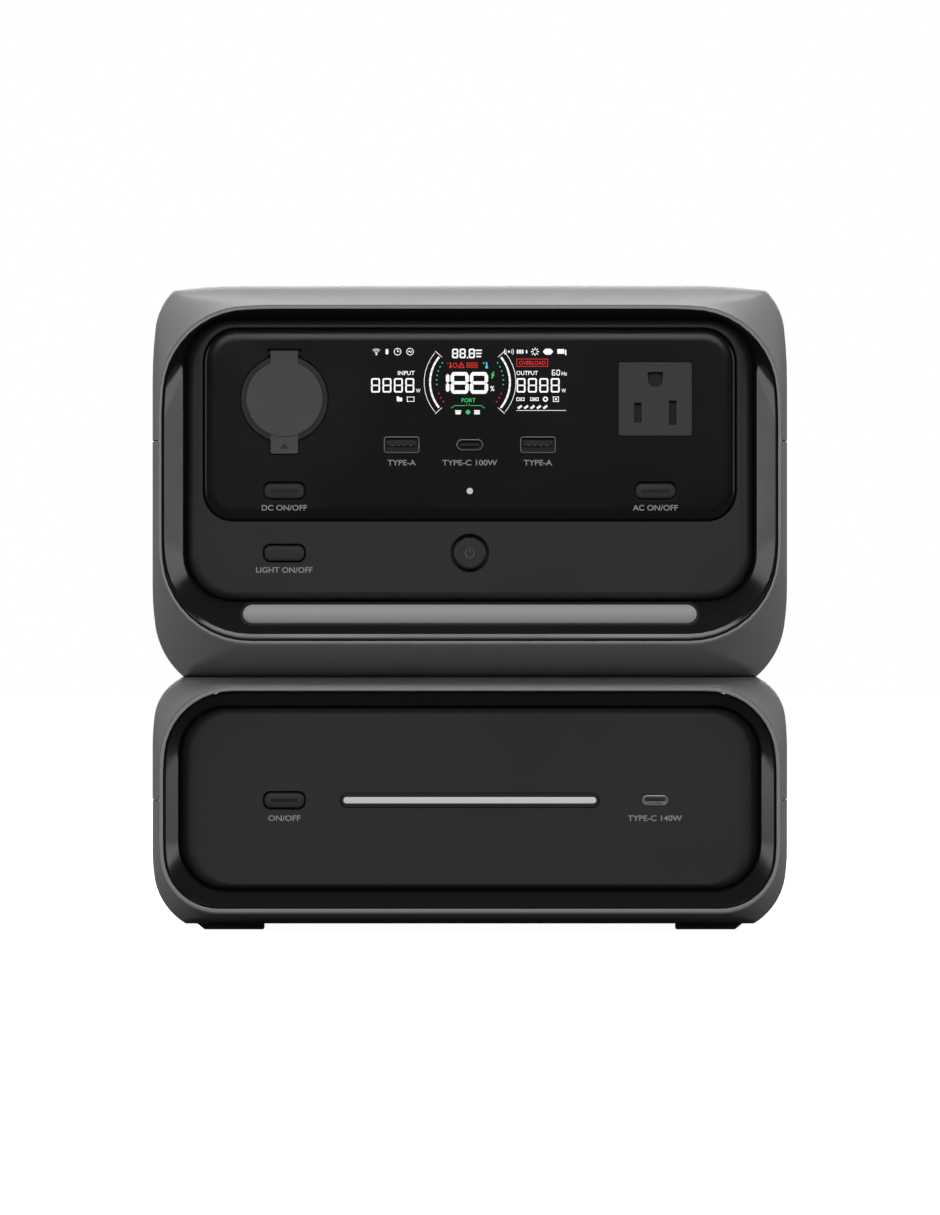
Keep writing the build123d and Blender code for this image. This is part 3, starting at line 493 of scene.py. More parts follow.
# ---------------------------------------------------------------- shader groups
class Effect(Enum):
    """The surface effects that several finishes share."""

    GRAIN = "moulded grain"
    SMUDGE = "handling smudge"
    DUST = "settled dust"
    SCUFF = "fine scuffs"


def new_group(name: str, inputs: dict[str, tuple[str, float]], outputs: dict[str, str]) -> bpy.types.NodeTree:
    """Start a shader node group with its sockets.

    Args:
        name: the group's name.
        inputs: socket name to its kind and default value.
        outputs: socket name to its kind.

    Returns:
        The group, with its Group Input and Group Output nodes placed.
    """
    tree = bpy.data.node_groups.new(name, "ShaderNodeTree")
    for label, (kind, value) in inputs.items():
        socket = tree.interface.new_socket(label, in_out="INPUT", socket_type=kind)
        if kind == "NodeSocketFloat":
            socket.default_value = value
    for label, kind in outputs.items():
        tree.interface.new_socket(label, in_out="OUTPUT", socket_type=kind)
    tree.nodes.new("NodeGroupInput").name = "in"
    tree.nodes.new("NodeGroupOutput").name = "out"
    return tree


def place_node(
    tree: bpy.types.NodeTree, kind: str, links: dict[str | int, object], **settings: object
) -> bpy.types.Node:
    """Place a node, set it and wire its inputs.

    Args:
        tree: the node tree.
        kind: the node's type name.
        links: input name or number to a socket that feeds it, or to a plain value.
        settings: attributes of the node.

    Returns:
        The node.
    """
    node = tree.nodes.new(kind)
    for label, value in settings.items():
        setattr(node, label, value)
    for label, value in links.items():
        if isinstance(value, bpy.types.NodeSocket):
            tree.links.new(value, node.inputs[label])
        else:
            node.inputs[label].default_value = value
    return node


def grain_group() -> bpy.types.NodeTree:
    """The fine pebbled grain of moulded plastic: a height and a slight change of tone."""
    tree = new_group(
        Effect.GRAIN.value,
        {
            "Vector": ("NodeSocketVector", 0),
            "Scale": ("NodeSocketFloat", 1400),
            "Spread": ("NodeSocketFloat", 0.08),
        },
        {"Height": "NodeSocketFloat", "Tone": "NodeSocketFloat"},
    )
    given = tree.nodes["in"].outputs
    fine = place_node(
        tree, "ShaderNodeTexNoise", {"Vector": given["Vector"], "Scale": given["Scale"], "Detail": 2.0}
    )
    broad_scale = place_node(tree, "ShaderNodeMath", {0: given["Scale"], 1: 0.035}, operation="MULTIPLY")
    broad = place_node(
        tree,
        "ShaderNodeTexNoise",
        {"Vector": given["Vector"], "Scale": broad_scale.outputs[0], "Detail": 3.0},
    )
    mixed = place_node(
        tree, "ShaderNodeMath", {0: fine.outputs["Fac"], 1: broad.outputs["Fac"]}, operation="ADD"
    )
    centred = place_node(tree, "ShaderNodeMath", {0: mixed.outputs[0], 1: 1.0}, operation="SUBTRACT")
    tone = place_node(
        tree, "ShaderNodeMath", {0: centred.outputs[0], 1: given["Spread"], 2: 1.0}, operation="MULTIPLY_ADD"
    )
    tree.links.new(fine.outputs["Fac"], tree.nodes["out"].inputs["Height"])
    tree.links.new(tone.outputs[0], tree.nodes["out"].inputs["Tone"])
    return tree


def smudge_group() -> bpy.types.NodeTree:
    """Where hands and cloths have dulled a surface: a roughness between clean and worn."""
    tree = new_group(
        Effect.SMUDGE.value,
        {
            "Vector": ("NodeSocketVector", 0),
            "Scale": ("NodeSocketFloat", 14),
            "Clean": ("NodeSocketFloat", 0.1),
            "Worn": ("NodeSocketFloat", 0.2),
        },
        {"Roughness": "NodeSocketFloat"},
    )
    given = tree.nodes["in"].outputs
    patches = place_node(
        tree,
        "ShaderNodeTexNoise",
        {"Vector": given["Vector"], "Scale": given["Scale"], "Detail": 4.0, "Distortion": 0.7},
    )
    mask = place_node(
        tree,
        "ShaderNodeMapRange",
        {"Value": patches.outputs["Fac"], "From Min": 0.38, "From Max": 0.68, "To Min": 0.0, "To Max": 1.0},
    )
    rough = place_node(
        tree, "ShaderNodeMix", {0: mask.outputs[0], 2: given["Clean"], 3: given["Worn"]}, data_type="FLOAT"
    )
    tree.links.new(rough.outputs[0], tree.nodes["out"].inputs["Roughness"])
    return tree


def dust_group() -> bpy.types.NodeTree:
    """Dust that settles on what faces up: a mask."""
    tree = new_group(
        Effect.DUST.value,
        {"Vector": ("NodeSocketVector", 0), "Amount": ("NodeSocketFloat", 0.1)},
        {"Mask": "NodeSocketFloat"},
    )
    given = tree.nodes["in"].outputs
    facing = place_node(tree, "ShaderNodeNewGeometry", {})
    split = place_node(tree, "ShaderNodeSeparateXYZ", {0: facing.outputs["Normal"]})
    upward = place_node(
        tree,
        "ShaderNodeMapRange",
        {"Value": split.outputs["Z"], "From Min": 0.55, "From Max": 1.0, "To Min": 0.0, "To Max": 1.0},
    )
    specks = place_node(tree, "ShaderNodeTexNoise", {"Vector": given["Vector"], "Scale": 90.0, "Detail": 6.0})
    scattered = place_node(
        tree,
        "ShaderNodeMapRange",
        {"Value": specks.outputs["Fac"], "From Min": 0.42, "From Max": 0.75, "To Min": 0.0, "To Max": 1.0},
    )
    lying = place_node(
        tree, "ShaderNodeMath", {0: upward.outputs[0], 1: scattered.outputs[0]}, operation="MULTIPLY"
    )
    mask = place_node(tree, "ShaderNodeMath", {0: lying.outputs[0], 1: given["Amount"]}, operation="MULTIPLY")
    tree.links.new(mask.outputs[0], tree.nodes["out"].inputs["Mask"])
    return tree


def scuff_group() -> bpy.types.NodeTree:
    """Hairline scuffs that run mostly across: a mask."""
    tree = new_group(
        Effect.SCUFF.value,
        {"Vector": ("NodeSocketVector", 0), "Amount": ("NodeSocketFloat", 0.1)},
        {"Mask": "NodeSocketFloat"},
    )
    given = tree.nodes["in"].outputs
    turned = place_node(
        tree,
        "ShaderNodeMapping",
        {"Vector": given["Vector"], "Rotation": (0.2, 0.35, 0.1), "Scale": (6, 60, 900)},
    )
    lines = place_node(tree, "ShaderNodeTexNoise", {"Vector": turned.outputs[0], "Scale": 1.0, "Detail": 1.0})
    thin = place_node(
        tree,
        "ShaderNodeMapRange",
        {"Value": lines.outputs["Fac"], "From Min": 0.67, "From Max": 0.78, "To Min": 0.0, "To Max": 1.0},
    )
    mask = place_node(tree, "ShaderNodeMath", {0: thin.outputs[0], 1: given["Amount"]}, operation="MULTIPLY")
    tree.links.new(mask.outputs[0], tree.nodes["out"].inputs["Mask"])
    return tree


GROUP_MAKERS = {
    Effect.GRAIN: grain_group,
    Effect.SMUDGE: smudge_group,
    Effect.DUST: dust_group,
    Effect.SCUFF: scuff_group,
}


def effect_tree(effect: Effect) -> bpy.types.NodeTree:
    """The shader group of an effect, built the first time it is asked for."""
    return bpy.data.node_groups.get(effect.value) or GROUP_MAKERS[effect]()


# ---------------------------------------------------------------- finishes
@dataclass(frozen=True)
class Finish:
    """A surface finish: its colour, gloss, grain and the marks of use on it."""

    name: str
    colour: tuple[float, float, float]
    clean: float
    worn: float
    slot: str = ""
    metallic: float = 0.0
    grain_scale: float = 1400.0
    grain_depth: float = 0.00002
    spread: float = 0.10
    smudge_scale: float = 14.0
    dust: float = 0.0
    scuff: float = 0.0
    specular: float = 0.5
    glow: float = 0.0
    # Painted light: a ramp that darkens the colour towards the bottom of a span of heights, as if lit from
    # above.
    painted_light_ramp: tuple[float, float, float, float] | None = None

    def placed(self, tree: bpy.types.NodeTree, effect: Effect, links: dict) -> bpy.types.Node:
        """Place one of the shared effects in the material's tree."""
        return place_node(tree, "ShaderNodeGroup", links, node_tree=effect_tree(effect))

    def material(self) -> bpy.types.Material:
        """The finish as a material, made once.

        Returns:
            The material of this name.
        """
        made = bpy.data.materials.get(self.name)
        if made:
            return made
        made = bpy.data.materials.new(self.name)
        made.use_nodes = True
        made.diffuse_color = (*self.colour, 1)
        tree = made.node_tree
        shader = tree.nodes["Principled BSDF"]
        where = tree.nodes.new("ShaderNodeTexCoord").outputs["Object"]
        grain = self.placed(
            tree, Effect.GRAIN, {"Vector": where, "Scale": self.grain_scale, "Spread": self.spread}
        )
        smudge = self.placed(
            tree,
            Effect.SMUDGE,
            {"Vector": where, "Scale": self.smudge_scale, "Clean": self.clean, "Worn": self.worn},
        )
        toned = place_node(
            tree,
            "ShaderNodeVectorMath",
            {0: (*self.colour,), 1: grain.outputs["Tone"]},
            operation="MULTIPLY",
        )
        colour = toned.outputs[0]
        # Painted light: the colour is darker towards the bottom, standing in for the fall of overhead light.
        if self.painted_light_ramp:
            height = place_node(tree, "ShaderNodeSeparateXYZ", {0: where}).outputs["Z"]
            limits = dict(zip(("From Min", "From Max", "To Min", "To Max"), self.painted_light_ramp))
            share = place_node(tree, "ShaderNodeMapRange", {"Value": height, **limits})
            shaded = {0: colour, 1: share.outputs[0]}
            colour = place_node(tree, "ShaderNodeVectorMath", shaded, operation="MULTIPLY").outputs[0]
        if self.scuff:
            lines = self.placed(tree, Effect.SCUFF, {"Vector": where, "Amount": self.scuff})
            colour = self.lightened(tree, colour, lines.outputs["Mask"], 0.35)
        if self.dust:
            lying = self.placed(tree, Effect.DUST, {"Vector": where, "Amount": self.dust})
            colour = self.lightened(tree, colour, lying.outputs["Mask"], 0.5)
        tree.links.new(colour, shader.inputs["Base Color"])
        tree.links.new(smudge.outputs["Roughness"], shader.inputs["Roughness"])
        bump = place_node(
            tree, "ShaderNodeBump", {"Height": grain.outputs["Height"], "Distance": self.grain_depth}
        )
        tree.links.new(bump.outputs[0], shader.inputs["Normal"])
        shader.inputs["Metallic"].default_value = self.metallic
        shader.inputs["Specular IOR Level"].default_value = self.specular
        if self.glow:
            tree.links.new(colour, shader.inputs["Emission Color"])
            shader.inputs["Emission Strength"].default_value = self.glow
        return made

    def lightened(
        self, tree: bpy.types.NodeTree, colour: bpy.types.NodeSocket, mask: bpy.types.NodeSocket, tone: float
    ) -> bpy.types.NodeSocket:
        """Mix a colour towards a pale grey by a mask."""
        mix = place_node(
            tree, "ShaderNodeMix", {0: mask, 6: colour, 7: (tone, tone, tone * 0.97, 1)}, data_type="RGBA"
        )
        return mix.outputs[2]

    def dress(self, node: bpy.types.Object) -> None:
        """Give a node of the frame this finish."""
        for slot in node.material_slots:
            slot.material = self.material()
        log.info("%s dressed in %s", node.name, self.name)


def grey(value: float) -> tuple[float, float, float]:
    """A neutral colour."""
    return (value, value, value)


CASE_GREY = Finish(
    "satin grey case", grey(0.19), 0.42, 0.5, "shell_grey", grain_depth=0.00003, dust=0.03, scuff=0.03
)
FOOT_GREY = Finish("moulded foot", grey(0.05), 0.5, 0.65, "shell_grey", grain_depth=0.00004, scuff=0.1)
BEZEL_BLACK = Finish(
    "gloss black bezel", grey(0.01), 0.09, 0.2, "bezel_gloss", grain_depth=0.000004, spread=0.05,
    specular=0.42,
)
PANEL_BLACK = Finish("matte black panel", grey(0.03), 0.5, 0.6, "panel_matte", grain_depth=0.00003)
COVER_BLACK = Finish(
    "smoked display cover", grey(0.006), 0.2, 0.27, "cover_gloss",
    grain_depth=0.000003, spread=0.05, specular=0.36,
)
# Painted highlight: this pale grey stands in for the highlight along the rounded lip of each case.
TRIM_PAINTED_HIGHLIGHT = Finish("rim trim with painted highlight", grey(0.4), 0.27, 0.34, "shell_grey", grain_depth=0.00001, spread=0.05)
BUTTON_BLACK = Finish("soft touch button", grey(0.031), 0.42, 0.55, "button_matte", grain_scale=2200)
FLAP_GREY = Finish("moulded rubber flap", grey(0.115), 0.55, 0.7, "flap_rubber", grain_depth=0.00004)
PAD_RUBBER = Finish("grip rubber", grey(0.02), 0.7, 0.85, "pad_rubber", grain_scale=900, grain_depth=0.0001)
OUTLET_GREY = Finish("outlet plastic", grey(0.066), 0.5, 0.6, "outlet_plastic", grain_scale=2000)
PORT_STEEL = Finish("port steel", grey(0.24), 0.35, 0.45, "port_steel", 1.0, 2500, 0.000004, 0.06)
PORT_BRIGHT = Finish("polished port steel", grey(0.62), 0.3, 0.38, "port_steel", 1.0, 2500, 0.000004, 0.06)
TONGUE_BLACK = Finish("tongue plastic", grey(0.02), 0.4, 0.5, "tongue_plastic")
LAMP_WHITE = Finish("milky lamp", grey(0.5), 0.3, 0.35, "lamp_white", spread=0.03, glow=0.6)
# Painted light: the lens's colour, which also feeds its glow, is lighter towards its top, standing in for the
# overhead light that falls on it.
LENS_GREY = Finish(
    "milky light lens", grey(0.25), 0.4, 0.42, "light_lens", grain_depth=0.000004, spread=0.04, glow=0.66,
    painted_light_ramp=(0.1132, 0.1185, 0.45, 1.0),
)
# Also painted shade: the near-black sheet behind the outlet's slots uses this finish.
SCREEN_AND_SHADE_BLACK = Finish("screen glass and painted slot shade", grey(0.004), 0.1, 0.16, "screen")
BOARD_GREEN = Finish("circuit board", (0.01, 0.08, 0.03), 0.35, 0.5, "board_green", grain_scale=600)
CELL_BLUE = Finish("cell sleeve", (0.03, 0.09, 0.2), 0.3, 0.4, "cell_can")
HOLDER_GREY = Finish("cell holder", grey(0.06), 0.5, 0.6, "holder_plastic")
NICKEL = Finish("nickel strip", (0.6, 0.58, 0.54), 0.3, 0.4, "nickel_strip", 1.0, 1200, 0.000008)
BRASS = Finish("brass contact", (0.62, 0.42, 0.16), 0.25, 0.38, "brass_contact", 1.0, 1200, 0.000006)
ZINC = Finish("zinc plated steel", grey(0.48), 0.32, 0.48, "steel_zinc", 1.0, 900, 0.00001)
ALUMINIUM = Finish("heat sink aluminium", grey(0.55), 0.35, 0.45, "heat_sink_metal", 1.0, 700, 0.00001)
FAN_BLACK = Finish("fan plastic", grey(0.018), 0.45, 0.55, "fan_plastic")
COIL_BROWN = Finish("wound parts", (0.16, 0.07, 0.03), 0.45, 0.6, "power_parts")
SOCKET_BLACK = Finish("socket plastic", grey(0.014), 0.38, 0.5, "socket_black")
BREAKER_GREY = Finish("breaker cap", grey(0.1), 0.4, 0.5, "breaker_grey")
FLAP_RIM = Finish("flap rim", grey(0.042), 0.55, 0.7, "flap_rubber")
LINE_DARK = Finish("unlit line", grey(0.012), 0.3, 0.4, "button_matte")
MARK_GREY = Finish("power mark", grey(0.13), 0.5, 0.6, "lamp_white")
# Also painted shade: the near-black lining behind the case seams uses this finish.
GASKET_AND_SHADE_BLACK = Finish("lens gasket and painted seam shade", grey(0.008), 0.5, 0.6, "bezel_gloss")
LABEL_GREY = Finish("label print", grey(0.5), 0.5, 0.6, "lamp_white", spread=0.04)
PRINT_WHITE = Finish("display white", grey(0.75), 0.4, 0.5, "screen", spread=0.02, glow=1.0)
PRINT_RED = Finish("display red", (0.55, 0.012, 0.012), 0.4, 0.5, "screen", spread=0.02, glow=0.9)
PRINT_GREEN = Finish("display green", (0.03, 0.42, 0.12), 0.4, 0.5, "screen", spread=0.02, glow=0.9)
PRINT_CYAN = Finish("display cyan", (0.05, 0.45, 0.5), 0.4, 0.5, "screen", spread=0.02, glow=0.9)


# ---------------------------------------------------------------- the case
@dataclass
class CaseShells:
    """The two halves of a module's case, parted at a seam."""

    name: str
    body: str
    nodes: tuple[str, str]
    outer: Section
    rim: Section
    lip: float
    seam: float
    wall: float = 2.6
    taper: float = 21.0
    cavity: float = 97.0
    edge: float = 0.35
    gap: float = 0.35
    shares: tuple[float, ...] = (0.04, 0.1, 0.2, 0.35, 0.55, 0.78, 1.0)

    def tube(self) -> Bench:
        """The whole case as one closed tube, open at the front and the back.

        Returns:
            A bench that holds it.
        """
        bench = Bench()
        mouth = self.rim.inset(self.lip)
        lip = soft_edge(0.0, self.edge, 3)
        steps = [(mouth.inset(-inward), depth) for inward, depth in lip]
        steps += [(self.tapered(depth).inset(inward), depth) for inward, depth in reversed(lip)]
        steps += [(self.tapered(self.taper * share), self.taper * share) for share in self.shares]
        rings = [(section, FRONT + depth) for section, depth in steps]
        rings += [(section, -FRONT - depth) for section, depth in reversed(steps)]
        rings += [(mouth, self.cavity), (self.outer.inset(self.wall), self.cavity)]
        rings += [(self.outer.inset(self.wall), -self.cavity), (mouth, -self.cavity)]
        bench.skin([section.draw(bench, y) for section, y in rings], closed=True)
        bench.tidy()
        return bench

    def tapered(self, depth: float) -> Section:
        """The outside of the case at a depth behind its rim."""
        return self.outer.towards(self.rim, (1 - depth / self.taper) ** 2)

    def beside_slot(self, first: Vector, second: Vector) -> bool:
        """Whether an edge runs round the top of the finger slot."""
        return all(p.z > 234 and abs(p.x) < 64.2 and 78.8 < p.y < 101.2 for p in (first, second))

    def halves(self, carved: Bench) -> None:
        """Saw the case at its seam and put a dark lining of painted shade behind the seam.

        Args:
            carved: solids to cut out of the case first.
        """
        whole = self.tube()
        whole.carve(carved)
        whole.soften(self.beside_slot, 1.3, 3)
        for level, node in zip((self.seam - self.gap, self.seam), self.nodes):
            bench = Bench()
            bench.add(whole)
            bench.halve(level, level == self.seam)
            bench.soften(lambda a, b: abs(a.z - level) < 0.01 and abs(b.z - level) < 0.01, 0.25)
            half = bench.piece(node.replace("_shell", "_case"), CASE_GREY, self.body)
            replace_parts(half, node)
        whole.bm.free()
        self.seam_shade_lining()

    def seam_shade_lining(self) -> bpy.types.Object:
        """The dark lining that closes the seam behind its groove; it is near black, painted shade that keeps
        the groove dark.
        """
        inner = replace(
            self, outer=self.outer.inset(0.6), rim=self.rim.inset(0.6), lip=self.lip - 0.9, wall=1.4
        )
        lining = inner.tube()
        lining.move(Matrix.Diagonal((1, 0.996, 1, 1)))
        lining.halve(self.seam - 1.4, True)
        lining.halve(self.seam + 0.9, False)
        # Painted shade: the lining is near black so that the seam groove reads dark.
        return lining.piece(self.name + "_seam_shade_lining", GASKET_AND_SHADE_BLACK, self.body)


BATTERY_OUTER = Section(117.25, 2.3, 93.55, Corner(72, 8, 23.7, 60), Corner(94, 7, 18.4, 66))
BATTERY_RIM = Section(114.7, 6.4, 90.2, Corner(70, 6, 22, 90), Corner(90, 6, 27, 90))
STATION_OUTER = Section(
    117.25, 93.55, 238.1, Corner(103, 8, 30.5, 49.5), Corner(171, 6.5, 23.5, 45), crown=1.8, half_flat=84.5
)
STATION_RIM = Section(114.9, 105.3, 230.4, Corner(100, 5, 34, 90), Corner(150, 5, 33, 90), crown=0.3)
BATTERY_OPENING = Section(107.3, 14.5, 82.9, Corner(60, 2, 17.5, 90), Corner(60, 2, 17.5, 90))
STATION_OPENING = Section(105.1, 121.2, 225.3, Corner(80, 2, 18, 90), Corner(80, 2, 17, 90))


def block(low: tuple[float, float, float], high: tuple[float, float, float], corner: float = 0.0) -> Bench:
    """A rounded upright block between two corners, seen from above.

    Args:
        low: its lowest corner.
        high: its highest corner.
        corner: radius of its upright edges.

    Returns:
        A bench that holds it.
    """
    bench = Bench()
    width, depth = high[0] - low[0], high[1] - low[1]
    rings = [bench.tile(0, level, 0, width, depth, corner) for level in (low[2], high[2])]
    bench.solid(rings)
    middle = ((low[0] + high[0]) / 2, (low[1] + high[1]) / 2, 0)
    bench.move(Matrix.Translation(middle) @ Matrix.Rotation(pi / 2, 4, "X"))
    bench.tidy()
    return bench


def gathered(parts: list[Bench]) -> Bench:
    """Several benches' solids on one bench."""
    bench = Bench()
    for part in parts:
        bench.add(part)
        part.bm.free()
    return bench


def bar(x: float, z: float, width: float, height: float, corner: float, front: float, back: float) -> Bench:
    """A rounded rectangle between two depths, as a solid."""
    bench = Bench()
    rings = [bench.tile(x, y, z, width, height, corner) for y in (front, back)]
    bench.solid(rings)
    return bench


def rod(x: float, z: float, radius: float, front: float, back: float, steps: int = 48) -> Bench:
    """A round bar between two depths, as a solid."""
    bench = Bench()
    rings = [bench.disc(x, y, z, radius, steps) for y in (front, back)]
    bench.solid(rings)
    return bench


@dataclass
class Case:
    """The grey cases of both modules."""

    foot_places: tuple[tuple[float, float], ...] = ((-85, -78), (85, -78), (-85, 78), (85, 78))

    def battery_cutters(self) -> Bench:
        """What is cut out of the battery's case: foot pockets, stud holes and the dock's opening."""
        parts = [self.well(x, y, 10.6, 90.75, 95) for x, y in self.foot_places]
        parts += [self.well(x, 60, 4.7, 88, 95) for x in (-55, 55)]
        parts.append(block((-22, -86, 86), (22, -70, 95), 3))
        return gathered(parts)

    def station_cutters(self) -> Bench:
        """What is cut out of the station's case: the finger slot, the vents and the docking holes."""
        parts = [block((-64, 79, 215), (64, 101, 245), 8)]
        vents = Place.of("side_vents")
        parts += [self.upright_window(*span, vents) for span in ((-119.0, -113.5), (113.5, 119.0))]
        parts.append(block((-22, -86, 90), (22, -70, 99), 3))
        return gathered(parts)

    def handle(self) -> bpy.types.Object:
        """The bar behind the finger slot, and the walls that tie it to the case."""
        bench = Bench()
        rings = []
        for x in (-67.0, 67.0):
            known = set(bench.bm.edges)
            point = first = bench.start(76.4, x, 236.0)
            for depth, level in ((76.4, 220.0), (115.2, 220.0), (115.2, 229.4), (97.0, 229.4), (97.0, 236.0)):
                point = bench.reach(point, depth, level)
            bench.bm.edges.new((point, first))
            ring = bench.fresh_edges(known)
            low = [v for v in {v for e in ring for v in e.verts} if v.co.z < 221]
            bmesh.ops.bevel(
                bench.bm, geom=low, offset=2.2, offset_type="OFFSET", affect="VERTICES",
                segments=4, profile=0.5, material=-1,
            )
            rings.append(bench.fresh_edges(known))
        bench.solid(rings)
        bench.move(Matrix.Rotation(-pi / 2, 4, "Z") @ Matrix.Diagonal((-1, 1, 1, 1)))
        bench.carve(block((-64, 79, 210), (64, 101, 245), 8))
        bench.soften(lambda a, b: a.z < 220.5 and b.z < 220.5 and a.y < 101.5 and b.y < 101.5, 1.0, 3)
        return bench.piece("handle_bar", CASE_GREY, "station")

    def upright_window(self, left: float, right: float, vents: Place) -> Bench:
        """A rounded window through a side of the case."""
        bench = bar(0, 0, vents.size.y, vents.size.z, 4, left, right)
        middle = (0, vents.middle.y, vents.middle.z)
        bench.move(Matrix.Translation(middle) @ Matrix.Rotation(-pi / 2, 4, "Z"))
        return bench

    def well(self, x: float, y: float, radius: float, low: float, high: float) -> Bench:
        """A round upright hole."""
        bench = rod(0, 0, radius, low, high, 32)
        bench.move(Matrix.Translation((x, y, 0)) @ Matrix.Rotation(pi / 2, 4, "X"))
        return bench

    def build(self) -> None:
        """Build the four shells."""
        battery = CaseShells(
            "battery", "battery", (
                "battery_base_shell", "battery_top_shell"
            ), BATTERY_OUTER, BATTERY_RIM, 1.8, 48.3
        )
        battery.halves(self.battery_cutters())
        station = CaseShells(
            "station", "station", (
                "station_bottom_shell", "station_top_shell"
            ), STATION_OUTER, STATION_RIM, 1.4, 180.7
        )
        station.halves(self.station_cutters())
        self.handle()


# ---------------------------------------------------------------- front panels
@dataclass
class Bezel:
    """A gloss ring that slopes from a thin lip back to the panel."""

    node: str
    body: str
    rim: Section
    lip: float
    opening: Section
    inner: float
    sill: float = 0.0
    face: float = -115.2
    back: float = -97.0
    step: float = 1.35

    def build(self) -> bpy.types.Object:
        """Build the ring.

        Returns:
            The bezel.
        """
        bench = Bench()
        outer = self.rim.inset(self.lip + 0.3)
        lip = self.raised(outer.inset(0.28), 0.65 * self.sill)
        mouth = self.raised(lip.inset(0.45), 1.05 * self.sill)
        floor = self.face + self.step
        rings = [outer.draw(bench, self.back)]
        rings += [outer.inset(i).draw(bench, y) for i, y in soft_edge(self.face, 0.2, 2)]
        rings += [lip.draw(bench, self.face + 0.04), lip.towards(mouth, 0.1).draw(bench, self.face + 0.12)]
        rings += [lip.towards(mouth, 0.9).draw(bench, floor - 0.16), mouth.draw(bench, floor)]
        for share in (0.06, 0.3, 0.6, 0.85, 0.96, 1.0):
            depth = floor + (self.inner - floor) * share + (0.25 if share == 1.0 else 0.0)
            rings.append(mouth.towards(self.opening, share).draw(bench, depth))
        stop = self.back - 6.2
        rings += [self.opening.draw(bench, stop), self.opening.inset(1.8).draw(bench, stop)]
        rings.append(self.opening.inset(1.8).draw(bench, self.back - 0.5))
        bench.skin(rings, closed=True)
        made = bench.piece(self.node.replace("_front", ""), BEZEL_BLACK, self.body, 30)
        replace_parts(made, self.node)
        return made

    def raised(self, section: Section, amount: float) -> Section:
        """A section with its lower edge lifted."""
        return replace(section, z_low=section.z_low + amount)


@dataclass
class RimTrimHighlight:
    """The bright line round the lip of a case: a pale ring whose lightness is a painted highlight along the
    lip.
    """

    body: str
    rim: Section
    lip: float
    face: float = -116.06
    rounding: float = 0.2

    def build(self) -> bpy.types.Object:
        """Build the trim as a thin ring on the lip.

        Returns:
            The trim.
        """
        bench = Bench()
        outer, inner = self.rim.inset(0.12), self.rim.inset(self.lip - 0.02)
        rings = [outer.draw(bench, self.face + 1.0)]
        for inward, depth in ((0.0, 0.52), (0.06, 0.42), (0.42, 0.05), (0.5, 0.0)):
            rings.append(outer.inset(inward).draw(bench, self.face + depth))
        rings += [inner.inset(-i).draw(bench, y) for i, y in reversed(soft_edge(self.face, self.rounding, 3))]
        rings.append(inner.draw(bench, self.face + 3.0))
        bench.skin(rings, closed=True)
        return bench.piece(self.body + "_rim_trim_highlight", TRIM_PAINTED_HIGHLIGHT, self.body, 50)


@dataclass
class RaisedPanel:
    """A matte panel with sloping walls that stands inside a bezel."""

    node: str
    body: str
    opening: Section
    margins: tuple[float, float, float]
    corner: float
    face: float = -112.0
    back: float = -104.0
    steps: int = 9
    openings: list[Bench] = field(default_factory=list)

    def build(self) -> bpy.types.Object:
        """Build the panel and cut its openings.

        Returns:
            The panel.
        """
        side, bottom, top = self.margins
        base = self.opening.inset(0.3)
        corner = Corner(60, 2, self.corner, 90)
        face = Section(base.half_width - side, base.z_low + bottom, base.z_high - top, corner, corner)
        bench = Bench()
        rings = []
        for number in range(self.steps + 1):
            turn = pi / 2 * number / self.steps
            section = face.towards(base, cos(turn))
            rings.append(section.draw(bench, self.back + (self.face - self.back) * sin(turn)))
        bench.solid(rings)
        bench.tidy()
        if self.openings:
            bench.carve(gathered(self.openings))
            limit = self.face + 0.05
            bench.soften(lambda a, b: a.y < limit and b.y < limit and self.inside(a, face), 0.3)
        made = bench.piece(self.node.replace("_front", ""), PANEL_BLACK, self.body, 30)
        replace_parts(made, self.node)
        return made

    def inside(self, point: Vector, face: Section) -> bool:
        """Whether a point lies well inside the panel's face."""
        return abs(point.x) < face.half_width - 3 and face.z_low + 3 < point.z < face.z_high - 3


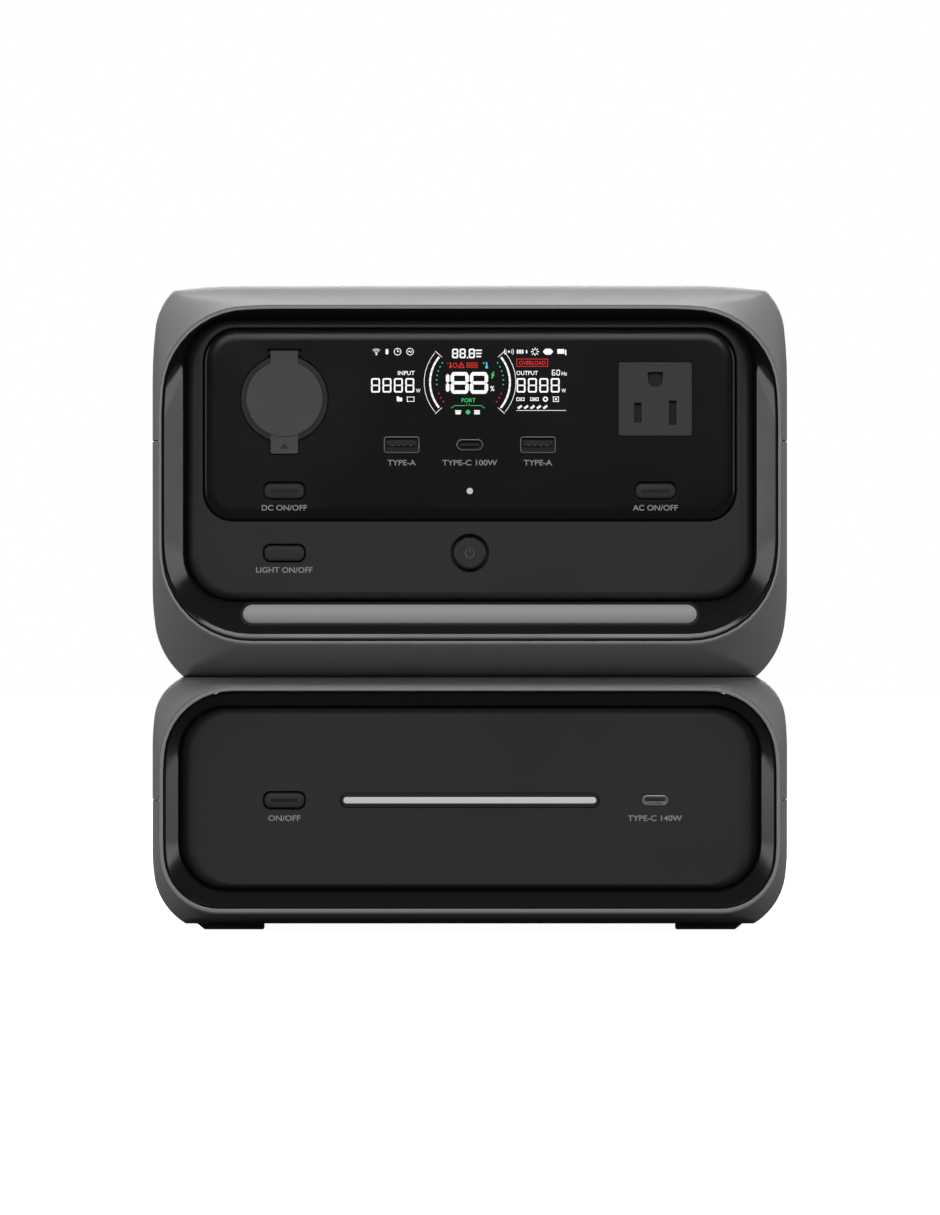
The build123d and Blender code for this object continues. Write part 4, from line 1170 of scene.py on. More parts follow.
@dataclass
class Fronts:
    """Bezels, panels and the display cover."""

    cover_edge: tuple[tuple[float, float], ...] = (
        (0.0, -110.7), (0.1, -110.85), (0.85, -111.5), (1.6, -111.8),
        (2.6, -112.02), (3.8, -112.15), (5.0, -112.2),
    )

    def button_hole(self, x: float, z: float) -> Bench:
        """The opening round a rounded rectangular button."""
        return bar(x, z, 15.9, 6.9, 2.8, *THROUGH)

    def slot_hole(self, x: float, z: float, width: float, height: float) -> Bench:
        """An opening with round ends."""
        return bar(x, z, width, height, height / 2, *THROUGH)

    def build(self) -> None:
        """Build both fronts."""
        RimTrimHighlight("battery", BATTERY_RIM, 1.8).build()
        RimTrimHighlight("station", STATION_RIM, 1.4).build()
        Bezel("battery_front_bezel", "battery", BATTERY_RIM, 1.8, BATTERY_OPENING, -110.8).build()
        Bezel("station_front_bezel", "station", STATION_RIM, 1.4, STATION_OPENING, -109.4, 1.0).build()
        holes = [self.button_hole(-SIDE_X, BATTERY_Z), self.slot_hole(0, BATTERY_Z, 96.0, 5.7)]
        holes.append(self.slot_hole(SIDE_X, BATTERY_Z, 9.7, 3.9))
        RaisedPanel(
            "battery_front_panel", "battery", BATTERY_OPENING, (7.7, 2.7, 3.2), 12, openings=holes
        ).build()
        holes = [self.button_hole(-SIDE_X, LIGHT_Z), rod(0, LIGHT_Z, 7.1, *THROUGH)]
        holes.append(self.cover_pocket())
        RaisedPanel(
            "station_front_panel", "station", STATION_OPENING, (5.5, 3.4, 2.1), 13, openings=holes
        ).build()
        self.display_cover()

    def cover_section(self) -> Section:
        """The outline of the display cover."""
        return Section(98.2, 150.95, 222.1, Corner(60, 2, 11, 90), Corner(60, 2, 12.5, 90))

    def cover_pocket(self) -> Bench:
        """The pocket in the panel that the display cover lies in."""
        bench = Bench()
        rings = [self.cover_section().inset(-0.25).draw(bench, y) for y in (-118, -109.2)]
        bench.solid(rings)
        return bench

    def display_cover(self) -> bpy.types.Object:
        """The smoked gloss plate with its openings."""
        bench = Bench()
        section = self.cover_section()
        rings = [section.draw(bench, -109.3)]
        for inward, depth in self.cover_edge:
            rings.append(section.inset(inward).draw(bench, depth))
        bench.solid(rings)
        x, z = SIDE_X, SOCKET_Z
        holes = [rod(-x, z, 16.4, *THROUGH, 64), bar(-x, 184.0, 10.8, 17.5, 1.2, *THROUGH)]
        holes.append(bar(-x, 209.4, 12.7, 10, 0.3, *THROUGH))
        holes.append(bar(x, z, 27.4, 27.6, 0.9, *THROUGH))
        holes += [bar(side * PORT_X, PORT_Z, 13.3, 6.3, 1.0, *THROUGH) for side in (-1, 1)]
        holes.append(self.slot_hole(0, PORT_Z, 10.2, 4.6))
        holes.append(rod(0, BUTTON_Z, 1.2, *THROUGH, 24))
        holes += [self.button_hole(side * x, BUTTON_Z) for side in (-1, 1)]
        for hole in holes:
            bench.carve(hole)
        bench.soften(
            lambda a, b: a.y < -112.15 and b.y < -112.15 and 157 < a.z < 167 and abs(a.x) > 50, 0.5, 3
        )
        bench.soften(lambda a, b: a.y < -112.15 and b.y < -112.15 and 170 < a.z < 219 and abs(a.x) < 92, 0.25)
        made = bench.piece("display_cover_plate", COVER_BLACK, "station", 30)
        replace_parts(made, "display_cover")
        return made


# ---------------------------------------------------------------- controls
@dataclass
class PushButton:
    """A rounded rectangular push button, with or without a lit line."""

    node: str
    lit: bool
    size: tuple[float, float] = (14.8, 5.8)
    corner: float = 2.3
    rounding: float = 0.75
    line: tuple[float, float] = (10.0, 1.1)

    def build(self) -> None:
        """Build the button and its line."""
        place = Place.of(self.node)
        x, z, face = place.middle.x, place.middle.z, place.low.y
        width, height = self.size
        bench = Bench()
        rings = [bench.tile(x, -106.3, z, width, height, self.corner)]
        for inward, depth in soft_edge(face + 0.06, self.rounding, 4):
            corner = self.corner - inward
            rings.append(bench.tile(x, depth, z, width - 2 * inward, height - 2 * inward, corner))
        rings.append(bench.tile(x, face, z, width - 4.0, height - 4.0, 0.9))
        bench.solid(rings)
        body = self.node
        if self.lit:
            bench.carve(bar(x, z, *self.line, self.line[1] / 2, -118, face + 0.35))
            strip = soft_plate(
                x, z, self.line[0] - 0.1, self.line[1] - 0.1, 0.5, face + 0.14, face + 0.5, 0.12
            )
            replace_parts(strip.piece(self.node + "_line", LINE_DARK, body), self.node)
        bench.add(bar(x, z, width + 4, height + 4, 3, -106.5, -105.3))
        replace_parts(bench.piece(self.node + "_cap", BUTTON_BLACK, body, 30), self.node)


def soft_plate(
    x: float, z: float, width: float, height: float, corner: float, face: float, back: float, rounding: float
) -> Bench:
    """A plate with a rounded front edge.

    Args:
        x: middle, across.
        z: middle, upwards.
        width: size across.
        height: size upwards.
        corner: radius of its corners.
        face: depth of its front.
        back: depth of its back.
        rounding: radius of the front edge.

    Returns:
        A bench that holds it.
    """
    bench = Bench()
    rings = [bench.tile(x, back, z, width, height, corner)]
    for inward, depth in soft_edge(face, rounding, 3):
        radius = max(corner - inward, 0.05)
        rings.append(bench.tile(x, depth, z, width - 2 * inward, height - 2 * inward, radius))
    bench.solid(rings)
    return bench


def soft_disc(x: float, z: float, radius: float, face: float, back: float, rounding: float) -> Bench:
    """A disc with a rounded front edge."""
    bench = Bench()
    rings = [bench.disc(x, back, z, radius, 64)]
    rings += [bench.disc(x, depth, z, radius - inward, 64) for inward, depth in soft_edge(face, rounding, 4)]
    bench.solid(rings)
    return bench


def arc_band(
    x: float, z: float, inner: float, outer: float,
    start: float, sweep: float, face: float, depth: float = 0.06,
) -> Bench:
    """A thin curved band that lies on a front face.

    Args:
        x: centre, across.
        z: centre, upwards.
        inner: inner radius.
        outer: outer radius.
        start: angle where it starts, in degrees anticlockwise from the right.
        sweep: how far it turns, in degrees.
        face: depth of its front.
        depth: how thick it is.

    Returns:
        A bench that holds it.
    """
    bench = Bench()
    turn = radians(start)
    point = bench.start(x + inner * cos(turn), face, z + inner * sin(turn))
    bench.reach(point, x + outer * cos(turn), z + outer * sin(turn))
    whole = abs(sweep) >= 360
    bmesh.ops.spin(
        bench.bm,
        geom=[*bench.bm.verts, *bench.bm.edges],
        cent=(x, face, z),
        axis=(0, -1, 0),
        angle=radians(sweep),
        steps=max(3, round(abs(sweep) / 9)),
        use_merge=whole,
    )
    thicken(bench, depth)
    return bench


def thicken(bench: Bench, depth: float) -> None:
    """Give the flat faces on a bench a thickness, backwards."""
    made = bmesh.ops.extrude_face_region(bench.bm, geom=list(bench.bm.faces), use_keep_orig=True)["geom"]
    moved = [item for item in made if isinstance(item, bmesh.types.BMVert)]
    bmesh.ops.translate(bench.bm, vec=(0, depth, 0), verts=moved)
    bench.tidy()


@dataclass
class PowerButton:
    """The round power button with its mark."""

    x: float = 0.0
    z: float = LIGHT_Z
    radius: float = 5.95
    face: float = -111.9

    def build(self) -> None:
        """Build the button and its mark."""
        cap = soft_disc(self.x, self.z, self.radius, self.face, -106.3, 0.9)
        cap.add(rod(self.x, self.z, 8.55, -106.5, -105.3))
        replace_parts(cap.piece("power_button_cap", BUTTON_BLACK, "power_button", 30), "power_button")
        ring = arc_band(self.x, self.z, 1.4, 1.85, 118, 304, self.face - 0.04)
        ring.add(bar(self.x, self.z + 1.35, 0.45, 1.9, 0.12, self.face - 0.04, self.face + 0.02))
        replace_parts(ring.piece("power_mark", MARK_GREY, "power_button"), "power_button")


@dataclass
class SocketFlap:
    """The round rubber flap over the DC socket, with its hinge tab and pull tab."""

    x: float = -SIDE_X
    z: float = SOCKET_Z
    radius: float = 16.05
    tab: float = 10.1
    face: float = -112.8
    back: float = -110.3

    def build(self) -> None:
        """Build the flap in one body: a dark rim, a raised disc, the tabs and the arrow."""
        rim = soft_disc(self.x, self.z, self.radius, self.face + 0.65, self.back, 0.5)
        disc = soft_disc(self.x, self.z, self.radius - 2.1, self.face, self.face + 0.7, 0.35)
        pull = soft_plate(self.x, 181.0, self.tab, 10.8, 1.0, self.face + 0.3, self.back, 0.4)
        hinge = soft_plate(self.x, 209.3, self.tab, 6.4, 0.6, self.face + 0.3, self.back, 0.4)
        knuckle = rod(0, 0, 1.5, -self.tab / 2, self.tab / 2, 24)
        knuckle.move(Matrix.Translation((self.x, -111.0, 212.4)) @ Matrix.Rotation(pi / 2, 4, "Z"))
        for name, bench, finish in (
            ("dc_flap_rim", rim, FLAP_RIM),
            ("dc_flap_disc", disc, FLAP_GREY),
            ("dc_flap_pull", pull, FLAP_GREY),
            ("dc_flap_hinge", hinge, FLAP_GREY),
            ("dc_flap_knuckle", knuckle, FLAP_GREY),
            ("dc_flap_arrow", self.arrow(), FLAP_RIM),
        ):
            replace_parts(bench.piece(name, finish, "dc_socket_cover", 30), "dc_socket_cover")

    def arrow(self) -> Bench:
        """The small arrow on the pull tab."""
        bench = Bench()
        bmesh.ops.create_circle(bench.bm, cap_ends=True, radius=1.0, segments=3)
        place = Matrix.Translation((self.x, self.face + 0.27, 178.2)) @ Matrix.Rotation(pi / 2, 4, "X")
        low = min(v.co.y for v in bench.bm.verts)
        flip = -1 if abs(low + 1.0) < 0.01 else 1
        bench.move(place @ Matrix.Diagonal((2.0, 1.4 * flip, 1, 1)))
        thicken(bench, 0.08)
        return bench


@dataclass
class Outlet:
    """The AC outlet: a flat plate with two blade slots and a ground hole."""

    x: float = SIDE_X
    z: float = SOCKET_Z
    size: tuple[float, float] = (27.0, 27.2)
    face: float = -112.3

    def build(self) -> None:
        """Build the outlet's plate with its slots."""
        plate = soft_plate(self.x, self.z, *self.size, 0.8, self.face, self.face + 3, 0.3)
        plate.add(bar(self.x, self.z, 25.0, 25.0, 1.5, self.face + 2.9, -92.3))
        cutters = [
            bar(self.x - 6.42, self.z - 5.1, 2.75, 7.3, 0.2, -118, -94),
            bar(self.x + 6.42, self.z - 5.1, 2.75, 8.9, 0.2, -118, -94),
            bar(self.x, self.z + 8.4, 5.7, 2.8, 0.3, -118, -94),
            rod(self.x, self.z + 7.2, 2.85, -118, -94, 40),
        ]
        # Painted shade: a near-black sheet behind the slots so that they read dark.
        shade = soft_plate(self.x, self.z, 24.0, 24.0, 1.0, self.face + 4.0, self.face + 4.5, 0.1)
        plate.carve(soft_plate(self.x, self.z, 24.2, 24.2, 1.0, self.face + 3.95, self.face + 4.55, 0.05))
        for cutter in cutters:
            plate.carve(cutter)
        limit = self.face + 0.05
        plate.soften(lambda a, b: a.y < limit and b.y < limit and self.inside(a), 0.6, 1)
        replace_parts(plate.piece("ac_outlet_plate", OUTLET_GREY, "station", 30), "ac_outlet_front")
        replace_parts(shade.piece("ac_outlet_shade", SCREEN_AND_SHADE_BLACK, "station", 30), "ac_outlet_front")

    def inside(self, point: Vector) -> bool:
        """Whether a point lies within the plate's border."""
        return abs(point.x - self.x) < 11 and abs(point.z - self.z) < 11.7


@dataclass
class LightBar:
    """The long lens in the slope below the station's panel, in a dark gasket."""

    low: tuple[float, float] = (-113.85, 109.45)
    high: tuple[float, float] = (-109.4, 121.2)
    middle: float = 116.7
    size: tuple[float, float] = (167.5, 7.2)

    def build(self) -> None:
        """Build the lens and the gasket on the slope."""
        lean = atan2(self.high[0] - self.low[0], self.high[1] - self.low[1])
        share = (self.middle - self.low[1]) / (self.high[1] - self.low[1])
        depth = self.low[0] + share * (self.high[0] - self.low[0])
        height = self.size[1] / cos(lean)
        place = Matrix.Translation((0, depth, self.middle)) @ Matrix.Rotation(-lean, 4, "X")
        gasket = soft_plate(0, 0, self.size[0] + 1.5, height + 1.5, height / 2, -0.1, 2.0, 0.1)
        lens = Bench()
        rings = [lens.tile(0, 1.5, 0, self.size[0], height, 4.2, 10)]
        for inward, level in ((0, 0.3), (0.15, -0.05), (0.5, -0.3), (1.2, -0.5), (2.4, -0.62), (3.8, -0.68)):
            rings.append(
                lens.tile(0, level, 0, self.size[0] - 2 * inward, height - 2 * inward, 4.2 - inward, 10)
            )
        lens.solid(rings)
        for name, bench, finish in (
            ("light_bar_gasket", gasket, GASKET_AND_SHADE_BLACK), ("light_bar", lens, LENS_GREY)
        ):
            bench.move(place)
            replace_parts(bench.piece(name, finish, "station", 30), "light_bar_lens")


@dataclass
class Backs:
    """Raised frames and grip ribs on the rear panels."""

    rib: tuple[float, float] = (150.0, 2.2)
    pitch: float = 6.0
    rows: int = 5
    first: float = 14.0
    margin: tuple[float, float] = (3.5, 3.0)
    frame: float = 1.6
    sunk: float = 0.3
    rise: tuple[float, float] = (0.9, 0.8)

    def build(self) -> None:
        """Rib the battery's rear panel and frame the station's sockets."""
        rib_rise, rim_rise = self.rise
        panel = Place.of("battery_rear_panel")
        level = panel.high.y
        ribs = Bench()
        for row in range(self.rows):
            z = panel.middle.z - self.first + row * self.pitch
            ribs.add(soft_plate(0, z, *self.rib, self.rib[1] / 2, level - self.sunk, level + rib_rise, 0.4))
        self.turned(ribs, 2 * level - self.sunk + rib_rise)
        ribs.piece("battery_rear_ribs", PANEL_BLACK, "battery", 40)
        level = Place.of("rear_panel").high.y
        rims = Bench()
        for node in ("ac_outlets_rear", "rear_inlets"):
            place = Place.of(node)
            x, z = place.middle.x, place.middle.z
            width, height = place.size.x + 2 * self.margin[0], place.size.z + 2 * self.margin[1]
            rim = soft_plate(x, z, width, height, 3.5, level - self.sunk, level + rim_rise, 0.4)
            rim.carve(bar(x, z, width - 2 * self.frame, height - 2 * self.frame, 2.2, level - 5, level + 5))
            rims.add(rim)
        self.turned(rims, 2 * level - self.sunk + rim_rise)
        rims.piece("rear_socket_frames", PANEL_BLACK, "station", 40)

    def turned(self, bench: Bench, doubled: float) -> None:
        """Turn what faces the front to face the back, about half of a doubled depth."""
        bench.move(Matrix.Translation((0, doubled, 0)) @ Matrix.Diagonal((1, -1, 1, 1)))


@dataclass
class Controls:
    """Every control on both fronts."""

    def build(self) -> None:
        """Build the buttons, flap, outlet, light bar, lamps and port details."""
        for node in ("dc_button", "ac_button", "battery_button"):
            PushButton(node, True).build()
        PushButton("light_button", False).build()
        PowerButton().build()
        SocketFlap().build()
        Outlet().build()
        LightBar().build()
        self.status_bar()
        self.port_shells()
        self.port_contacts()

    def status_bar(self) -> None:
        """The battery's lit bar and the dark frame round it."""
        lamp = soft_plate(0, BATTERY_Z, 93.1, 2.3, 1.15, -112.1, -107.0, 0.35)
        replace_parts(lamp.piece("status_bar_lamp", LAMP_WHITE, "battery", 30), "battery_status_bar")
        frame = soft_plate(0, BATTERY_Z, 95.8, 5.5, 2.75, -111.4, -106.0, 0.3)
        frame.carve(bar(0, BATTERY_Z, 93.2, 2.4, 1.2, *THROUGH))
        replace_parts(frame.piece("status_bar_surround", SOCKET_BLACK, "battery", 30), "battery_bar_frame")

    def port_shells(self) -> None:
        """The thin metal shells of the ports."""
        wide = Bench()
        for x in (-PORT_X, PORT_X):
            shell = soft_plate(x, PORT_Z, 13.1, 6.1, 1.0, -112.35, -98.2, 0.12)
            shell.carve(bar(x, PORT_Z, 12.4, 5.4, 0.7, -118, -99.7))
            wide.add(shell)
        small = soft_plate(0, PORT_Z, 9.9, 4.2, 2.1, -112.35, -103, 0.15)
        small.carve(bar(0, PORT_Z, 9.1, 3.4, 1.7, -118, -104.4))
        wide.add(small)
        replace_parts(wide.piece("port_shells", PORT_STEEL, "station", 30), "usb_shells")
        battery = soft_plate(SIDE_X, BATTERY_Z, 9.5, 3.7, 1.85, -112.15, -103.1, 0.15)
        battery.carve(bar(SIDE_X, BATTERY_Z, 8.75, 2.95, 1.47, -118, -104.1))
        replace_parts(battery.piece("battery_port_shell", PORT_BRIGHT, "battery", 30), "battery_usb_c_shell")

    def port_contacts(self) -> None:
        """The contact strips on the tongues of the two wide ports."""
        strips = Bench()
        for side in (-1, 1):
            for number in range(4):
                x = side * PORT_X + (number - 1.5) * 2.2
                strips.add(bar(x, 178.74, 1.1, 0.12, 0.02, -111.1, -101))
        strips.piece("port_contacts", BRASS, "station")


# ---------------------------------------------------------------- lettering and display
@dataclass
class Lettering:
    """Printed words in a plain sans letter."""

    face: float
    finish: Finish
    body: str
    weight: float = 0.012
    turn: float = 0.0

    def solid(self, words: str, x: float, z: float, cap: float, width: float, face: float) -> Bench:
        """Words as thin solids, fitted to a cap height and a width.

        Args:
            words: what is printed.
            x: middle of the words, across.
            z: middle of their height.
            cap: height of a capital.
            width: width of the whole line.
            face: depth of the print's front.

        Returns:
            A bench that holds them.
        """
        curve = bpy.data.curves.new("letters", "FONT")
        curve.body = words
        curve.extrude = 0.02
        curve.offset = self.weight
        curve.resolution_u = 4
        writer = bpy.data.objects.new("letters", curve)
        bpy.context.scene.collection.objects.link(writer)
        bpy.context.view_layer.update()
        mesh = bpy.data.meshes.new_from_object(writer.evaluated_get(bpy.context.evaluated_depsgraph_get()))
        bpy.data.objects.remove(writer)
        bpy.data.curves.remove(curve)
        bench = Bench()
        bench.bm.from_mesh(mesh)
        bpy.data.meshes.remove(mesh)
        across = [v.co.x for v in bench.bm.verts]
        left, right = min(across), max(across)
        rise = cap / 0.729
        stretch = width / (right - left)
        centre = Matrix.Translation((-(left + right) / 2, -0.3645, 0))
        size = Matrix.Diagonal((stretch, rise, 1.5, 1))
        upright = Matrix.Rotation(self.turn, 4, "Z") @ Matrix.Rotation(pi / 2, 4, "X")
        bench.move(Matrix.Translation((x, face, z)) @ upright @ size @ centre)
        return bench

    def line(self, name: str, words: str, x: float, z: float, width: float, cap: float = 2.1) -> None:
        """Print one line as a piece."""
        self.solid(words, x, z, cap, width, self.face).piece(name, self.finish, self.body)


@dataclass
class Labels:
    """The words beside the controls."""

    def build(self) -> None:
        """Print every label."""
        cover = Lettering(-112.2, LABEL_GREY, "station")
        cover.line("label_dc", "DC ON/OFF", -SIDE_X, 155.9, 16.6)
        cover.line("label_ac", "AC ON/OFF", SIDE_X, 155.9, 16.6)
        cover.line("label_port_left", "TYPE-A", -PORT_X, 172.5, 10.4)
        cover.line("label_port_right", "TYPE-A", PORT_X, 172.5, 10.4)
        cover.line("label_port_middle", "TYPE-C 100W", 0, 172.5, 20.2)
        Lettering(-112.0, LABEL_GREY, "station").line("label_light", "LIGHT ON/OFF", -SIDE_X, 133.0, 20.8)
        battery = Lettering(-112.0, LABEL_GREY, "battery")
        battery.line("label_battery", "ON/OFF", -SIDE_X, 41.6, 11.8)
        battery.line("label_battery_port", "TYPE-C 140W", 68.2, 41.6, 20.0)
        back = Lettering(76.03, LABEL_GREY, "station", turn=pi)
        back.line("label_rear_solar", "PV INPUT", 70.0, 186.4, 15.0)
        back.line("label_rear_inlet", "AC INPUT", 30.0, 181.6, 15.0)
        back.line("label_rear_outlets", "AC OUTPUT", -42.0, 179.4, 18.0)
        back.line("label_rear_breaker", "RESET", 77.0, 157.6, 10.0)


SEGMENTS = {
    "8": "abcdefg",
    "1": "bc",
    "0": "abcdef",
    "6": "acdefg",
}


@dataclass
class DisplayPrint:
    """What the station's display shows, as thin glowing marks."""

    x: float = 0.0
    z: float = 202.6
    face: float = -112.22
    sheets: dict[str, Bench] = field(default_factory=dict)

    def put(self, ink: str, bench: Bench) -> None:
        """Lay a finished mark down among those of its colour."""
        self.sheets.setdefault(ink, Bench()).add(bench)
        bench.bm.free()

    def mark(self, ink: str, x: float, z: float, width: float, height: float, corner: float = 0.0) -> None:
        """Put down a small rectangle, with cut corners if asked."""
        bench = Bench()
        rings = []
        for y in (self.face, self.face + 0.05):
            rings.append(bench.tile(self.x + x, y, self.z + z, width, height, corner, 1))
        bench.solid(rings)
        self.put(ink, bench)

    def band(
        self, ink: str, x: float, z: float, inner: float, outer: float, start: float, sweep: float
    ) -> None:
        """Put down a curved band."""
        bench = arc_band(self.x + x, self.z + z, inner, outer, start, sweep, self.face, 0.05)
        self.put(ink, bench)

    def dot(self, ink: str, x: float, z: float, radius: float) -> None:
        """Put down a small disc."""
        bench = rod(self.x + x, self.z + z, radius, self.face, self.face + 0.05, 10)
        self.put(ink, bench)

    def stroke(self, ink: str, first: tuple[float, float], last: tuple[float, float], width: float) -> None:
        """Put down a straight stroke between two points."""
        length = hypot(last[0] - first[0], last[1] - first[1])
        bench = bar(0, 0, length, width, 0, self.face, self.face + 0.05)
        turn = Matrix.Rotation(-atan2(last[1] - first[1], last[0] - first[0]), 4, "Y")
        middle = (self.x + (first[0] + last[0]) / 2, 0, self.z + (first[1] + last[1]) / 2)
        bench.move(Matrix.Translation(middle) @ turn)
        self.put(ink, bench)

    def word(self, ink: str, words: str, x: float, z: float, cap: float, width: float) -> None:
        """Put down a word about its middle."""
        writer = Lettering(self.face, PRINT_WHITE, "station")
        bench = writer.solid(words, self.x + x, self.z + z, cap, width, self.face + 0.03)
        self.put(ink, bench)

    def digit(
        self, ink: str, kind: str, left: float, z: float, size: tuple[float, float], pen: float
    ) -> None:
        """Put down a seven-segment digit.

        Args:
            ink: colour of the digit.
            kind: which digit.
            left: its left edge.
            z: its middle.
            size: its width and height.
            pen: width of a segment.
        """
        width, height = size
        x, half = left + width / 2, height / 2
        gap = pen * 0.12
        long, tall = width - pen * 0.5 - gap, half - pen * 0.5 - gap
        places = {
            "a": (x, z + half - pen / 2, long, pen),
            "g": (x, z, long - pen * 0.8, pen * 0.9),
            "d": (x, z - half + pen / 2, long, pen),
            "f": (left + pen / 2, z + half / 2 - pen / 4, pen, tall),
            "b": (left + width - pen / 2, z + half / 2 - pen / 4, pen, tall),
            "e": (left + pen / 2, z - half / 2 + pen / 4, pen, tall),
            "c": (left + width - pen / 2, z - half / 2 + pen / 4, pen, tall),
        }
        for segment in SEGMENTS[kind]:
            self.mark(ink, *places[segment], pen * 0.42)

    def number(
        self, ink: str, digits: str, left: float, z: float,
        size: tuple[float, float], pitch: float, pen: float,
    ) -> None:
        """Put down a row of digits."""
        for place, kind in enumerate(digits):
            self.digit(ink, kind, left + place * pitch, z, size, pen)

    def gauge(self) -> None:
        """The round gauge: thin outer arcs, ticked inner arcs and two rows of dots."""
        for side in (0, 180):
            self.band("white", 0.07, -0.6, 16.8, 17.0, side - 40, 80)
            for number in range(10):
                self.band("white", 0.07, -0.6, 14.35, 15.05, side - 39.5 + number * 7.9, 7.4)
            for end in (-42, 42):
                self.band("white", 0.07, -0.6, 13.9, 17.2, side + end - 0.4, 0.8)
        for ink, number, start, step in (("green", 6, -5, 7.8), ("red", 3, -21, -8.0)):
            for place in range(number):
                turn = radians(start + place * step)
                for way in (-1, 1):
                    spot = (0.07 + way * 12.3 * cos(turn), -0.3 + 12.3 * sin(turn))
                    self.mark(ink, *spot, 0.5, 0.5, 0.12)

    def centre(self) -> None:
        """The numbers and symbols inside the gauge."""
        self.digit("white", "1", -12.5, -0.8, (5.0, 8.0), 1.3)
        self.number("white", "88", -7.1, -0.8, (6.75, 8.0), 7.1, 1.3)
        self.word("white", "%", 8.3, -2.8, 1.9, 1.5)
        self.number("white", "88", -6.55, 10.05, (2.3, 3.5), 2.75, 0.55)
        self.mark("white", -0.85, 8.5, 0.5, 0.5)
        self.digit("white", "8", -0.4, 10.05, (2.3, 3.5), 0.55)
        for row in range(3):
            self.mark("white", 3.3, 11.2 - row * 1.15, 2.4 - 0.3 * row, 0.5, 0.1)
        self.stroke("green", (8.9, 3.2), (8.0, 2.0), 0.5)
        self.stroke("green", (8.0, 2.1), (8.9, 2.1), 0.4)
        self.stroke("green", (8.9, 2.2), (8.0, 0.9), 0.5)
        self.dot("cyan", 6.2, 5.0, 0.55)
        self.mark("cyan", 6.2, 6.0, 0.5, 1.7, 0.1)
        self.mark("cyan", 5.2, 6.5, 0.7, 0.22)
        self.mark("cyan", 5.2, 6.5, 0.22, 0.7)
        for place in range(3):
            self.digit("red", "8", -1.2 + place * 1.45, 5.74, (1.15, 2.0), 0.26)
        for first, last in (
            ((-4.2, 4.85), (-3.1, 6.8)), ((-3.1, 6.8), (-2.0, 4.85)), ((-4.2, 4.85), (-2.0, 4.85))
        ):
            self.stroke("red", first, last, 0.3)
        self.mark("red", -3.1, 5.75, 0.25, 0.8)
        self.band("red", -5.4, 5.7, 0.6, 0.88, 0, 360)
        self.dot("red", -7.1, 5.1, 0.5)
        self.mark("red", -7.1, 6.0, 0.42, 1.6, 0.1)
        self.mark("red", -8.1, 6.5, 0.6, 0.2)
        self.word("green", "PORT", -0.5, -7.14, 1.5, 5.2)
        for way in (-1, 1):
            self.stroke("green", (-0.7 + way * 0.9, -9.15), (-0.7 + way * 4.9, -9.15), 0.22)
            self.stroke("green", (-0.7 + way * 4.9, -9.15), (-0.7 + way * 6.2, -10.1), 0.22)
            self.mark("green", -0.7 + way * 0.42, -8.9, 0.2, 0.8)
        self.mark("white", -4.3, -11.1, 2.3, 0.45)
        self.mark("white", -4.3, -11.9, 1.9, 0.9, 0.1)
        self.dot("green", -0.66, -11.55, 0.85)
        for level in (-11.05, -11.6, -12.15):
            self.mark("white", 2.65, level, 2.1, 0.42, 0.08)

    def side_numbers(self) -> None:
        """The two power readings, their words and the marks below them."""
        for left, unit in ((-36.35, -19.0), (17.2, 34.6)):
            self.number("white", "8888", left, -1.7, (3.3, 5.3), 4.2, 0.56)
            self.word("white", "W", unit, -3.6, 1.4, 1.6)
        self.word("white", "INPUT", -23.4, 2.9, 1.55, 6.2)
        self.word("white", "OUTPUT", 21.1, 2.9, 1.55, 7.9)
        self.number("white", "60", 30.2, 3.0, (1.3, 2.1), 1.7, 0.3)
        self.word("white", "Hz", 34.8, 2.7, 1.4, 2.0)
        for number in range(5):
            x = 18.4 + number * 2.35
            self.stroke("white", (x - 0.7, -10.2), (x + 0.7, -9.2), 0.75)
        self.mark("white", 26.3, -10.95, 18.2, 0.18)

    def symbols(self) -> None:
        """The small symbols along the display's top and below the readings."""
        for ring in (0.9, 1.5, 2.1):
            self.band("white", -34.4, 9.7, ring - 0.22, ring, 48, 84)
        self.dot("white", -34.4, 9.75, 0.35)
        for x in (-26.6, -22.0):
            self.band("white", x, 10.7, 1.1, 1.35, 0, 360)
        self.mark("white", -26.6, 11.1, 0.25, 0.9)
        self.mark("white", -26.3, 10.7, 0.7, 0.22)
        self.stroke("white", (-22.7, 10.5), (-22.2, 11.0), 0.25)
        self.stroke("white", (-22.2, 11.0), (-21.8, 10.4), 0.25)
        self.stroke("white", (-21.8, 10.4), (-21.3, 10.9), 0.25)
        self.mark("white", -30.5, 10.7, 1.0, 1.9, 0.2)
        for way in (0, 180):
            self.band("white", 14.4, 10.7, 1.0, 1.2, way - 38, 76)
            self.band("white", 14.4, 10.7, 1.6, 1.8, way - 38, 76)
        self.dot("white", 14.4, 10.7, 0.4)
        for step in (-1.4, -0.5, 0.4):
            self.mark("white", 19.0 + step, 10.7, 0.62, 1.5, 0.12)
        self.mark("white", 20.9, 10.7, 0.5, 1.2, 0.1)
        for turn in range(8):
            angle = radians(turn * 45)
            inner, outer = 0.65, 1.5
            self.stroke(
                "white",
                (24.0 + inner * cos(angle), 10.7 + inner * sin(angle)),
                (24.0 + outer * cos(angle), 10.7 + outer * sin(angle)),
                0.34,
            )
        self.mark("white", 28.8, 10.7, 3.6, 2.2, 0.9)
        self.mark("white", 33.5, 10.8, 2.6, 1.7, 0.15)
        self.mark("white", 35.3, 10.4, 0.5, 2.0, 0.1)
        for level in (5.3, 8.0):
            self.mark("red", 23.0, level, 11.6, 0.24)
        for x in (17.3, 28.7):
            self.mark("red", x, 6.65, 0.24, 2.9)
        self.word("red", "OVERLOAD", 23.0, 6.65, 1.45, 9.8)
        self.mark("white", -25.9, -6.9, 2.0, 1.4, 0.2)
